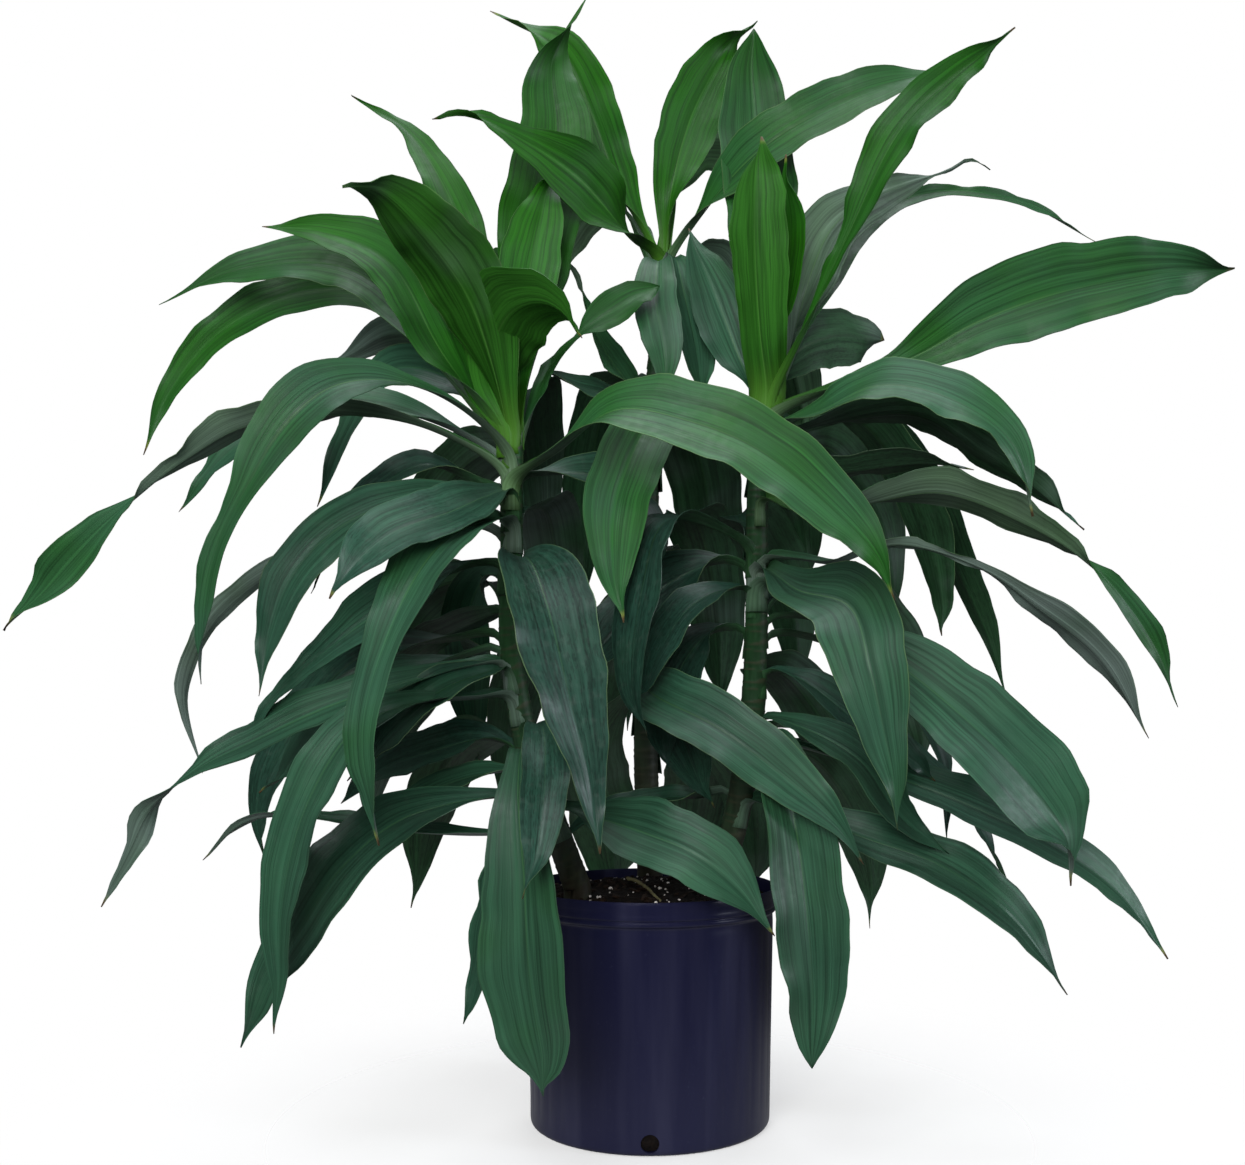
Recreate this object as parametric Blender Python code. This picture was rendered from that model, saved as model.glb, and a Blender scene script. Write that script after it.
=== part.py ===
"""Potted dracaena: three leafy canes in a black nursery pot.

Metres, +Z up, +Y away from the viewer. The origin is the middle of the pot's flat underside.
The leaves are set out on a full-size front elevation drawn through the pot's axis, seen from a
fixed eye. Each leaf is a smooth spine with a thin, keeled blade carried along it.
"""
import math

import bmesh
import bpy
import numpy as np
from mathutils import Matrix, Vector
from mathutils.bvhtree import BVHTree

MM = 0.001
GAP = 0.3 * MM

# The eye that the elevation is drawn for: its distance in front of the axis, and its height
EYE_BACK = 1.45
EYE_HEIGHT = 0.436

# Pot
POT_HEIGHT = 0.235
RIM_RADIUS = 0.126
WALL_TOP_RADIUS = 0.1235
BASE_RADIUS = 0.119
RIM_DEPTH = 0.022
WALL = 0.002
FLOOR = 0.0025
FOOT_ROUND = 0.006
POT_SIDES = 40
DRAIN_RADIUS = 0.009
DRAIN_HEIGHT = 0.013
DRAIN_COUNT = 4

# Soil
SOIL_EDGE_HEIGHT = 0.222
SOIL_MOUND = 0.014
SOIL_RINGS = 4

# Canes: axis points (x, y, z) in millimetres from the foot in the soil up to the growing point
CANE_SIDES = 10
CANE_FOOT_RADIUS = 0.0135
CANE_TOP_RADIUS = 0.0095
CANE_AXES = {
    "cane_left": ((-70, -48, 140), (-70, -48, 238), (-92, -54, 300), (-116, -60, 370),
                  (-133, -61, 468), (-133, -60, 543), (-132, -60, 645), (-131, -58, 684)),
    "cane_centre": ((0, 78, 140), (0, 78, 240), (-4, 84, 340), (-3, 90, 480),
                    (0, 92, 680), (9, 92, 790), (13, 90, 860), (13, 90, 894)),
    "cane_right": ((66, -12, 140), (66, -12, 238), (85, -12, 300), (101, -12, 400),
                   (106, -11, 520), (107, -10, 625), (115, -10, 697), (118, -9, 736)),
}

# Blade
BLADE_THICK = 2.4 * MM
SEGMENT_LENGTH = 0.055
LEAST_NECK = 0.008
SHEATH_RISE = 0.026
ROLL_START, ROLL_DONE = 0.12, 0.42
TWIST_START, TWIST_DONE = 0.52, 0.88
MIDDLE = 0.56

# Half-width of a blade along its length, as shares of the length and of half the full width
OUTLINE = ((0.0, 0.34), (0.1, 0.28), (0.2, 0.4), (0.33, 0.74), (0.46, 0.95), (0.57, 1.0),
           (0.69, 0.93), (0.8, 0.72), (0.89, 0.43), (0.95, 0.2), (1.0, 0.03))
# How far the edges rise over the midrib, as shares of the length and of the half-width
CHANNEL = ((0.0, 0.85), (0.12, 0.75), (0.3, 0.3), (0.55, 0.16), (0.85, 0.14), (1.0, 0.3))

# Clearing: a leaf that would meet a placed one is moved along its sight lines
CLEAR_HALF_THICK = 3.2 * MM
CLEAR_STEP = 0.011
CLEAR_TRIES = 30
SHEATH_REACH = 0.1
OTHER_CANE_COST = 1000
SHIFT_WORTH = 0.11

# Leaves of each cane, in millimetres: height of the foot on the cane, full width of the blade,
# width that the elevation shows (minus where the underside shows), twist towards the tip in
# degrees, then the spine's points past the sheath: across, up and depth behind the axis.
LEAVES = {
    "cane_left": (
        (640, 82, 80, 20, (-115, 869, 10), (-90, 1009, 50), (-62, 1114, 60)),
        (662, 60, 58, 0, (-128, 800, -50), (-98, 955, 12)),
        (655, 80, 75, 0, (-180, 819, -125), (-230, 889, -175), (-275, 929, -205), (-306, 920, -230)),
        (650, 80, 76, 0, (-140, 800, -80), (-126, 846, -125), (-67, 789, -195)),
        (640, 66, 58, 0, (-210, 769, -80), (-262, 858, -95), (-330, 887, -105), (-388, 891, -110)),
        (632, 58, 48, 0, (-215, 775, -50), (-300, 850, -50), (-410, 849, -45), (-487, 817, -40)),
        (628, 58, 38, 30, (-205, 745, -20), (-268, 822, 0), (-350, 825, 5), (-430, 787, 0),
         (-485, 719, -5), (-509, 658, -10)),
        (648, 52, -38, 30, (-170, 819, 10), (-200, 919, 45), (-245, 989, 75), (-292, 1020, 95)),
        (610, 62, 36, 150, (-220, 690, -100), (-300, 705, -115), (-405, 694, -130),
         (-460, 664, -135), (-513, 624, -135), (-580, 559, -130), (-642, 481, -120)),
        (620, 48, 30, 0, (-225, 700, -50), (-320, 712, -50), (-410, 674, -55), (-477, 604, -60)),
        (625, 70, 62, 0, (-180, 704, -115), (-240, 749, -155), (-310, 757, -185),
         (-360, 724, -205), (-415, 629, -215), (-445, 509, -215), (-439, 436, -215)),
        (630, 50, 33, 0, (-190, 735, -10), (-260, 749, 20), (-302, 689, 35), (-330, 621, 40)),
        (636, 50, -24, 0, (-175, 730, 20), (-220, 777, 60), (-262, 785, 90), (-325, 745, 120)),
        (640, 50, 42, 0, (-99, 752, -35), (-70, 786, -52), (-32, 812, -62), (6, 834, -55)),
        (600, 78, 70, 0, (-90, 669, -125), (-34, 713, -165), (40, 719, -190), (110, 684, -205),
         (180, 612, -215), (230, 559, -220), (248, 517, -220)),
        (605, 48, 30, 0, (-95, 645, -40), (-50, 642, -20), (-5, 600, 0), (15, 540, 5)),
        (590, 60, 42, 0, (-165, 622, -120), (-200, 607, -165), (-260, 585, -205),
         (-300, 549, -230), (-315, 514, -240)),
        (580, 78, 68, 0, (-170, 628, -85), (-230, 624, -120), (-310, 592, -150),
         (-360, 539, -170), (-394, 429, -180)),
        (590, 58, 42, 0, (-175, 636, -45), (-227, 654, -55), (-290, 612, -70), (-345, 520, -80)),
        (560, 72, 66, 0, (-165, 598, -130), (-210, 574, -185), (-245, 519, -215),
         (-278, 419, -228), (-285, 359, -228), (-266, 280, -225)),
        (548, 48, -28, 0, (-200, 595, -20), (-290, 585, -10), (-400, 534, -20), (-445, 489, -30),
         (-467, 429, -30), (-454, 352, -30)),
        (520, 62, 50, 0, (-180, 552, -75), (-270, 507, -115), (-340, 454, -135), (-413, 384, -145)),
        (426, 56, 34, 160, (-185, 452, -95), (-240, 438, -115), (-319, 413, -140),
         (-400, 376, -155), (-450, 351, -155), (-500, 311, -155), (-520, 269, -155),
         (-547, 205, -150)),
        (452, 52, 40, 0, (-200, 478, -20), (-290, 462, 0), (-350, 399, 10), (-385, 329, 15),
         (-394, 248, 15)),
        (440, 50, 35, 0, (-200, 458, -55), (-300, 424, -70), (-350, 364, -75), (-388, 313, -80)),
        (394, 60, 46, 0, (-180, 420, -110), (-250, 412, -160), (-300, 385, -190),
         (-340, 322, -210), (-360, 262, -215), (-370, 189, -218), (-365, 87, -215)),
        (300, 66, 58, 0, (-150, 322, -90), (-200, 315, -110), (-255, 296, -135),
         (-310, 249, -155), (-350, 189, -165), (-385, 129, -170), (-405, 66, -170)),
        (272, 42, 12, 60, (-150, 285, -60), (-239, 288, -70), (-310, 298, -80), (-367, 304, -90),
         (-405, 297, -90), (-450, 264, -90)),
        (345, 56, 34, 0, (-165, 380, -35), (-210, 370, -25), (-268, 350, -5), (-310, 318, 5)),
        (322, 42, 20, 0, (-165, 345, -40), (-215, 330, -20), (-290, 292, 0)),
        (424, 56, 36, 0, (-165, 446, -95), (-210, 428, -125), (-272, 371, -135), (-292, 330, -135)),
        (474, 50, -30, 0, (-170, 500, 10), (-225, 472, 50), (-300, 412, 70), (-330, 360, 75)),
        (500, 56, 45, 0, (-160, 545, 0), (-180, 510, 50), (-178, 430, 75), (-172, 354, 80)),
        (520, 82, 80, 0, (-122, 560, -125), (-105, 520, -175), (-80, 419, -215), (-58, 319, -232),
         (-57, 261, -236)),
        (332, 90, 94, 0, (-128, 370, -120), (-132, 326, -170), (-127, 239, -205),
         (-125, 139, -218), (-108, 21, -218)),
        (360, 52, 50, 0, (-108, 392, -140), (-105, 340, -205), (-112, 270, -240), (-121, 217, -252)),
        (296, 48, 24, 0, (-120, 300, -100), (-150, 245, -150), (-166, 163, -168), (-184, 91, -170)),
        (288, 74, 68, 0, (-50, 306, -85), (0, 296, -118), (50, 268, -142), (90, 230, -152),
         (120, 189, -156)),
        (660, 70, 52, 0, (-140, 800, 60), (-165, 840, 160), (-170, 800, 250), (-165, 700, 290)),
        (600, 70, 56, 0, (-150, 670, 60), (-190, 650, 160), (-240, 580, 250), (-250, 480, 285)),
        (560, 70, 56, 0, (-120, 610, 60), (-100, 600, 170), (-90, 500, 260), (-95, 400, 290)),
        (480, 66, 52, 0, (-175, 540, 60), (-230, 520, 150), (-275, 440, 230), (-295, 340, 270)),
        (410, 66, 52, 0, (-160, 460, 30), (-220, 450, 110), (-270, 370, 180), (-290, 280, 210)),
        (330, 62, 50, 0, (-140, 380, 20), (-190, 370, 110), (-225, 300, 185), (-235, 210, 215)),
        (618, 70, 56, 0, (-130, 720, 70), (-120, 720, 170), (-110, 640, 260), (-105, 540, 300)),
        (440, 66, 52, 0, (-120, 490, 50), (-120, 480, 150), (-140, 390, 230), (-145, 290, 255)),
    ),
    "cane_centre": (
        (866, 64, 60, 60, (-30, 929, 110), (-60, 1009, 130), (-90, 1069, 140), (-158, 1105, 140)),
        (858, 70, 60, 30, (-18, 879, 55), (-70, 939, 0), (-140, 986, -40), (-185, 1004, -60),
         (-218, 1003, -75)),
        (872, 66, 60, 80, (20, 919, 105), (40, 999, 130), (66, 1052, 140), (78, 1074, 145),
         (105, 1107, 150)),
        (850, 60, 48, 0, (45, 895, 60), (110, 969, 35), (200, 1021, 15), (305, 1053, 0)),
        (836, 66, 60, 0, (2, 858, 25), (-6, 818, -25), (2, 770, -55), (6, 715, -70)),
        (846, 50, 36, 0, (24, 862, 70), (34, 826, 40), (46, 770, 30), (52, 715, 25)),
        (700, 46, 22, 0, (-15, 726, 60), (-52, 780, 45), (-72, 842, 45), (-84, 862, 48)),
        (690, 44, 12, 0, (-40, 724, 50), (-72, 733, 20), (-112, 752, 0)),
        (690, 64, 60, 0, (18, 706, 10), (-8, 684, -70), (-36, 604, -110), (-33, 491, -120)),
        (420, 68, 62, 0, (-12, 446, 20), (4, 428, -70), (70, 400, -125), (140, 349, -150),
         (190, 299, -162), (215, 253, -165)),
        (396, 56, 52, 0, (14, 430, 40), (26, 395, 5), (44, 350, -5), (58, 312, -8)),
        (860, 70, 56, 0, (30, 940, 140), (60, 980, 210), (110, 960, 290), (150, 900, 340)),
        (830, 72, 56, 0, (-20, 900, 150), (-50, 930, 230), (-90, 880, 320), (-110, 800, 365)),
        (770, 72, 56, 0, (30, 840, 150), (60, 850, 230), (100, 780, 320), (120, 690, 360)),
        (720, 72, 56, 0, (-30, 790, 150), (-70, 790, 240), (-110, 710, 330), (-120, 610, 360)),
        (640, 70, 56, 0, (10, 690, 160), (20, 690, 250), (40, 600, 340), (40, 500, 375)),
        (560, 70, 56, 0, (30, 610, 150), (60, 600, 240), (90, 510, 320), (95, 410, 345)),
        (470, 68, 54, 0, (-10, 520, 150), (-30, 500, 240), (-50, 420, 330), (-60, 330, 345)),
        (380, 66, 52, 0, (-20, 430, 150), (-60, 415, 230), (-90, 330, 300), (-95, 235, 315)),
        (520, 70, 56, 0, (10, 570, 160), (0, 560, 250), (-15, 480, 340), (-20, 390, 365)),
        (430, 68, 54, 0, (35, 480, 150), (80, 465, 230), (120, 380, 310), (125, 285, 330)),
        (340, 66, 52, 0, (10, 390, 150), (30, 375, 230), (40, 290, 300), (40, 200, 315)),
    ),
    "cane_right": (
        (700, 58, 54, 0, (112, 789, -45), (108, 889, -62), (108, 985, -60)),
        (690, 80, 78, 0, (113, 869, 15), (103, 1019, 50), (98, 1089, 56)),
        (706, 40, 24, 0, (124, 800, -8), (131, 954, 4)),
        (694, 58, 50, 20, (155, 789, -45), (200, 889, -65), (250, 989, -80), (310, 1049, -88),
         (370, 1091, -90)),
        (684, 58, -48, 0, (155, 829, 10), (200, 909, 35), (260, 938, 50), (300, 951, 55),
         (338, 944, 60)),
        (676, 52, -13, 0, (165, 810, 50), (210, 889, 80), (280, 926, 100), (370, 917, 115),
         (448, 876, 125)),
        (670, 82, 78, 0, (215, 745, -60), (300, 784, -75), (400, 821, -85), (500, 847, -85),
         (588, 851, -75)),
        (655, 60, 46, 0, (175, 710, -110), (230, 734, -150), (300, 721, -175), (360, 679, -185),
         (386, 599, -185)),
        (645, 58, 38, 150, (200, 700, -60), (270, 704, -80), (330, 670, -95), (380, 624, -105),
         (441, 552, -115), (490, 499, -115), (535, 416, -110)),
        (590, 56, 34, 0, (160, 620, -75), (210, 628, -100), (280, 634, -115), (350, 624, -125),
         (385, 601, -125)),
        (600, 50, 24, 0, (150, 640, 0), (200, 648, 5), (270, 656, 5), (316, 652, 5)),
        (650, 58, 45, 0, (150, 700, 25), (205, 702, 50), (265, 619, 65), (301, 471, 70)),
        (640, 50, 35, 0, (165, 690, 60), (225, 695, 95), (280, 619, 110), (305, 559, 115),
         (340, 479, 118), (358, 429, 118)),
        (530, 52, 30, 0, (145, 560, -45), (186, 556, -75), (245, 575, -95), (330, 552, -120),
         (390, 511, -128), (450, 462, -130), (502, 378, -130)),
        (520, 76, 72, 0, (140, 556, -100), (188, 520, -160), (215, 439, -195), (240, 359, -208),
         (254, 291, -208)),
        (506, 88, 86, 0, (145, 545, -55), (200, 522, -95), (290, 464, -135), (370, 379, -155),
         (416, 289, -160), (422, 239, -160)),
        (470, 54, 38, 0, (160, 500, 0), (230, 470, 15), (290, 400, 20), (322, 340, 20)),
        (452, 44, 20, 0, (160, 480, 35), (240, 440, 60), (290, 362, 70), (298, 281, 70)),
        (352, 58, 42, 0, (150, 372, -35), (250, 340, -60), (330, 309, -75), (410, 269, -82),
         (470, 224, -84), (518, 154, -84)),
        (292, 58, 48, 0, (130, 312, -60), (215, 281, -95), (290, 254, -120), (360, 204, -132),
         (418, 125, -134)),
        (362, 44, 18, 0, (160, 390, 30), (240, 376, 55), (310, 318, 65), (360, 233, 70)),
        (420, 56, 36, 0, (150, 440, -30), (210, 396, -45), (290, 340, -55)),
        (372, 50, 35, 0, (150, 392, -75), (210, 358, -110), (250, 302, -122), (295, 266, -124)),
        (684, 64, 58, 0, (140, 760, 40), (178, 780, 90), (232, 778, 165), (270, 740, 230)),
        (680, 56, 50, 0, (85, 772, 25), (55, 849, 50), (34, 890, 60)),
        (340, 80, 78, 0, (118, 380, -90), (140, 318, -150), (155, 225, -180), (162, 139, -190),
         (164, 58, -190)),
        (300, 48, 20, 0, (50, 322, 5), (10, 320, 0), (-45, 306, -5), (-90, 284, -8)),
        (540, 52, 38, 0, (60, 592, -50), (14, 596, -85), (-8, 530, -108), (-18, 439, -118),
         (-8, 379, -118)),
        (500, 50, 34, 0, (72, 528, -40), (40, 512, -62), (8, 465, -76), (-10, 410, -80)),
        (520, 66, 58, 0, (75, 556, 15), (38, 546, 26), (-15, 510, 25), (-75, 440, 20)),
        (460, 58, 50, 0, (62, 486, 5), (36, 460, 5), (18, 410, 5), (12, 350, 0)),
        (690, 70, 56, 0, (122, 780, 80), (130, 790, 170), (150, 720, 250), (160, 620, 290)),
        (600, 72, 56, 0, (130, 660, 60), (180, 670, 150), (230, 600, 240), (250, 500, 280)),
        (560, 70, 56, 0, (90, 600, 60), (100, 600, 150), (140, 520, 240), (150, 420, 270)),
        (480, 68, 54, 0, (150, 530, 50), (210, 520, 130), (260, 440, 200), (280, 340, 225)),
        (410, 66, 52, 0, (100, 450, 40), (140, 440, 130), (190, 360, 210), (205, 265, 235)),
        (330, 64, 52, 0, (120, 370, 30), (170, 355, 120), (215, 280, 190), (225, 190, 210)),
        (620, 70, 56, 0, (90, 690, 80), (110, 690, 180), (150, 610, 270), (160, 510, 300)),
    ),
}

# Base colours, roughness
LEAF_GREEN = (0.035, 0.11, 0.035)
SOIL_BROWN = (0.035, 0.026, 0.02)
POT_BLACK = (0.018, 0.018, 0.03)


def clear_scene():
    for old in list(bpy.data.objects):
        bpy.data.objects.remove(old, do_unlink=True)


def material(name, colour, roughness):
    made = bpy.data.materials.new(name)
    made.use_nodes = True
    shader = made.node_tree.nodes["Principled BSDF"]
    shader.inputs["Base Color"].default_value = (*colour, 1.0)
    shader.inputs["Roughness"].default_value = roughness
    shader.inputs["Metallic"].default_value = 0.0
    return made


def add_object(name, mesh, finish):
    mesh.materials.clear()
    mesh.materials.append(finish)
    made = bpy.data.objects.new(name, mesh)
    bpy.context.scene.collection.objects.link(made)
    return made


def ease(start, done, share):
    """0 before start, 1 after done, and a smooth step between them."""
    t = np.clip((share - start) / (done - start), 0.0, 1.0)
    return t * t * (3.0 - 2.0 * t)


def unit(rows):
    return rows / np.linalg.norm(rows, axis=-1, keepdims=True)


def smooth_curve(points, count):
    """count points at equal steps along a centripetal Catmull-Rom curve through the points."""
    points = np.asarray(points, dtype=float)
    points = np.vstack([2 * points[0] - points[1], points, 2 * points[-1] - points[-2]])
    fine = []
    for i in range(1, len(points) - 2):
        four = points[i - 1:i + 3]
        knots = np.concatenate([[0.0], np.cumsum(np.linalg.norm(np.diff(four, axis=0), axis=1) ** 0.5)])
        t = np.linspace(knots[1], knots[2], 24, endpoint=False)[:, None]
        a = [four[j] * (knots[j + 1] - t) + four[j + 1] * (t - knots[j]) for j in range(3)]
        a = [a[j] / (knots[j + 1] - knots[j]) for j in range(3)]
        b = [a[j] * (knots[j + 2] - t) + a[j + 1] * (t - knots[j]) for j in range(2)]
        b = [b[j] / (knots[j + 2] - knots[j]) for j in range(2)]
        fine.append((b[0] * (knots[2] - t) + b[1] * (t - knots[1])) / (knots[2] - knots[1]))
    fine = np.vstack(fine + [points[-2:-1]])
    along = np.concatenate([[0.0], np.cumsum(np.linalg.norm(np.diff(fine, axis=0), axis=1))])
    steps = np.linspace(0.0, along[-1], count)
    return np.stack([np.interp(steps, along, fine[:, k]) for k in range(3)], axis=1)


def from_elevation(across, up, depth):
    """A point of the elevation, in millimetres, slid along its sight line to its depth."""
    depth = depth * MM
    reach = (EYE_BACK + depth) / EYE_BACK
    return np.array([across * MM * reach, depth, EYE_HEIGHT + (up * MM - EYE_HEIGHT) * reach])


def cane_axis(cane, height):
    """The point of a cane's axis at a height."""
    axis = smooth_curve(np.array(CANE_AXES[cane]) * MM, 200)
    return np.array([np.interp(height, axis[:, 2], axis[:, k]) for k in range(3)])


def leaf_spine(cane, foot, points, shift, count):
    """From the cane's axis, up beside the cane as a sheath, then through the drawn points."""
    root = cane_axis(cane, foot * MM)
    shares = (np.arange(len(points)) + 1.0) / len(points)
    drawn = [from_elevation(a, u, d + shift / MM * share)
             for (a, u, d), share in zip(points, shares)]
    away = (drawn[0] - root) * (1, 1, 0) + (drawn[1] - root) * (1, 1, 0)
    away = away / np.linalg.norm(away)
    sheath = cane_axis(cane, foot * MM + SHEATH_RISE) + away * CANE_TOP_RADIUS
    return smooth_curve([root, sheath, *drawn], count)


def blade_frames(spine, wide, seen, twist):
    """The blade's across and upper-face directions, carried along the spine without turning,
    then rolled until the middle shows its drawn width, and twisted towards the tip."""
    tangent = unit(np.gradient(spine, axis=0))
    outward = (spine[-1] - spine[0]) * (1, 1, 0)
    normal = -outward - tangent[0] * np.dot(-outward, tangent[0])
    normals = []
    for direction in tangent:
        normal = normal - direction * np.dot(normal, direction)
        normal = normal / np.linalg.norm(normal)
        normals.append(normal)
    normals = np.array(normals)
    across = np.cross(tangent, normals)
    share = np.linspace(0.0, 1.0, len(spine))
    middle = int(round(MIDDLE * (len(spine) - 1)))
    sight = unit(np.array([0.0, -EYE_BACK, EYE_HEIGHT]) - spine[middle])
    facing = np.dot(normals[middle], sight)
    sideways = np.dot(across[middle], sight)
    most = math.hypot(facing, sideways)
    reach = (EYE_BACK + spine[middle][1]) / EYE_BACK
    wanted = np.clip(seen * reach / wide, -1.0, 1.0)
    spread = math.acos(np.clip(wanted / most, -1.0, 1.0))
    straight = math.atan2(sideways, facing)
    rolls = [(straight + way * spread + math.pi) % (2 * math.pi) - math.pi for way in (-1, 1)]
    roll = min(rolls, key=abs) * ease(ROLL_START, ROLL_DONE, share)
    roll = roll + math.radians(twist) * ease(TWIST_START, TWIST_DONE, share)
    roll = roll[:, None]
    return (across * np.cos(roll) - normals * np.sin(roll),
            normals * np.cos(roll) + across * np.sin(roll))


def blade_sections(row, cane, shift, thick):
    """Rows of four corners along a blade: left edge, top of the midrib, right edge, keel."""
    foot, wide, seen, twist, *points = row
    length = np.linalg.norm(np.diff(leaf_spine(cane, foot, points, 0.0, 40), axis=0), axis=1).sum()
    count = int(max(7, round(length / SEGMENT_LENGTH))) + 1
    spine = leaf_spine(cane, foot, points, shift, count)
    across, upper = blade_frames(spine, wide, seen, twist)
    share = np.linspace(0.0, 1.0, count)
    half = 0.5 * wide * MM * np.interp(share, *np.array(OUTLINE).T)
    half = np.where(share < 0.5, np.maximum(half, LEAST_NECK), np.maximum(half, 0.0012))
    lift = half * np.interp(share, *np.array(CHANNEL).T)
    half, lift = half[:, None], lift[:, None]
    top = spine + upper * thick * 0.5
    keel = spine - upper * thick * 0.5
    return np.stack([spine - across * half + upper * lift, top,
                     spine + across * half + upper * lift, keel], axis=1)


def blade_faces(count):
    """Triangles of the closed blade. The faces on both sides of an edge are split alike."""
    left, top, right, keel = range(4)
    faces = []
    for i in range(count - 1):
        a, b = 4 * i, 4 * (i + 1)
        faces += [(a + left, a + top, b + left), (b + left, a + top, b + top)]
        faces += [(a + top, a + right, b + right), (a + top, b + right, b + top)]
        faces += [(a + right, a + keel, b + right), (b + right, a + keel, b + keel)]
        faces += [(a + keel, a + left, b + left), (a + keel, b + left, b + keel)]
    first, last = 0, 4 * (count - 1)
    faces += [(first + left, first + keel, first + top), (first + top, first + keel, first + right)]
    faces += [(last + left, last + top, last + keel), (last + top, last + right, last + keel)]
    return faces


def test_tree(sections, reach):
    """A search tree of the blade past a reach from its root."""
    start = int(np.argmax(np.linalg.norm(sections[:, 1] - sections[0, 1], axis=1) >= reach))
    kept = sections[start:]
    points = [Vector(p) for p in kept.reshape(-1, 3)]
    return BVHTree.FromPolygons(points, blade_faces(len(kept)))


def tube_mesh(name, path, radii, sides):
    """A closed tube along a path that mostly rises, with flat ends."""
    turn = np.arange(sides) * 2 * math.pi / sides
    ring = np.stack([np.cos(turn), np.sin(turn), np.zeros(sides)], axis=1)
    points = (path[:, None, :] + radii[:, None, None] * ring[None]).reshape(-1, 3)
    faces = []
    for i in range(len(path) - 1):
        for j in range(sides):
            k = (j + 1) % sides
            faces.append((i * sides + j, i * sides + k, (i + 1) * sides + k, (i + 1) * sides + j))
    faces.append(tuple(reversed(range(sides))))
    faces.append(tuple(range((len(path) - 1) * sides, len(path) * sides)))
    mesh = bpy.data.meshes.new(name)
    mesh.from_pydata([tuple(p) for p in points], [], faces)
    return mesh


def cane_path(cane):
    """Axis points and radii: straight and plain in the soil, then the bent, tapering cane."""
    axis = np.array(CANE_AXES[cane]) * MM
    above = smooth_curve(axis[1:], 16)
    path = np.vstack([axis[:1], above])
    share = (path[:, 2] - axis[1][2]) / (axis[-1][2] - axis[1][2])
    radii = CANE_FOOT_RADIUS + (CANE_TOP_RADIUS - CANE_FOOT_RADIUS) * np.clip(share, 0, 1)
    radii[-1] *= 0.5
    return path, radii


def place_leaves(barriers):
    """Each leaf's sections. A leaf that meets a placed one or a barrier is shifted in depth."""
    placed = []
    for cane, rows in LEAVES.items():
        for row in rows:
            best = None
            for attempt in range(CLEAR_TRIES * 2 + 1):
                step = (attempt + 1) // 2 * (1 if attempt % 2 else -1)
                shift = step * CLEAR_STEP
                if best is not None and abs(shift) / SHIFT_WORTH >= best[0]:
                    break
                shape = blade_sections(row, cane, shift, 2 * CLEAR_HALF_THICK)
                whole, outer = test_tree(shape, 0.0), test_tree(shape, SHEATH_REACH)
                cost = abs(shift) / SHIFT_WORTH
                for owner, tree in barriers:
                    if owner == cane:
                        cost += bool(outer.overlap(tree))
                    else:
                        cost += OTHER_CANE_COST * bool(whole.overlap(tree))
                for other, other_whole, other_outer, _ in placed:
                    if other == cane:
                        cost += bool(outer.overlap(other_outer))
                    else:
                        cost += OTHER_CANE_COST * bool(whole.overlap(other_whole))
                if best is None or cost < best[0]:
                    best = (cost, shift, whole, outer)
            _, shift, whole, outer = best
            placed.append((cane, whole, outer, blade_sections(row, cane, shift, BLADE_THICK)))
    return [(cane, sections) for cane, _, _, sections in placed]


def union_all(target, others):
    """Joins closed solids into the target with one union on a collection."""
    group = bpy.data.collections.new(target.name + "_leaves")
    bpy.context.scene.collection.children.link(group)
    for other in others:
        bpy.context.scene.collection.objects.unlink(other)
        group.objects.link(other)
    join = target.modifiers.new("join", "BOOLEAN")
    join.operation = "UNION"
    join.operand_type = "COLLECTION"
    join.collection = group
    join.solver = "MANIFOLD"
    bpy.context.view_layer.update()
    scene_now = bpy.context.evaluated_depsgraph_get()
    joined = bpy.data.meshes.new_from_object(target.evaluated_get(scene_now))
    target.modifiers.clear()
    target.data = joined
    for other in others:
        bpy.data.objects.remove(other, do_unlink=True)
    bpy.data.collections.remove(group)


def keep_largest_body(mesh):
    """Drops all but the largest joined body: the walls of a sealed hollow, or a loose scrap."""
    form = bmesh.new()
    form.from_mesh(mesh)
    left = set(form.verts)
    bodies = []
    while left:
        body, border = set(), {left.pop()}
        while border:
            body |= border
            border = {edge.other_vert(v) for v in border for edge in v.link_edges} - body
        left -= body
        bodies.append(body)
    bodies.sort(key=len)
    bmesh.ops.delete(form, geom=[v for body in bodies[:-1] for v in body], context="VERTS")
    form.to_mesh(mesh)
    form.free()


def make_cane(cane, blades, finish):
    path, radii = cane_path(cane)
    stem = add_object(cane, tube_mesh(cane, path, radii, CANE_SIDES), finish)
    leaves = []
    for sections in blades:
        mesh = bpy.data.meshes.new(cane + "_leaf")
        mesh.from_pydata([tuple(p) for p in sections.reshape(-1, 3)], [], blade_faces(len(sections)))
        leaves.append(add_object(cane + "_leaf", mesh, finish))
    union_all(stem, leaves)
    keep_largest_body(stem.data)


def turned_mesh(name, profile, sides):
    """A closed turned solid. The profile starts and ends on the axis."""
    form = bmesh.new()
    ends = []
    rings = []
    for radius, height in profile:
        if radius == 0.0:
            ends.append(form.verts.new((0.0, 0.0, height)))
            rings.append(None)
            continue
        turn = [2 * math.pi * j / sides for j in range(sides)]
        rings.append([form.verts.new((radius * math.cos(a), radius * math.sin(a), height)) for a in turn])
    for i in range(len(rings) - 1):
        low, high = rings[i], rings[i + 1]
        for j in range(sides):
            k = (j + 1) % sides
            if low is None:
                form.faces.new((ends[0], high[k], high[j]))
            elif high is None:
                form.faces.new((low[j], low[k], ends[-1]))
            else:
                form.faces.new((low[j], low[k], high[k], high[j]))
    mesh = bpy.data.meshes.new(name)
    form.to_mesh(mesh)
    form.free()
    return mesh


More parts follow.
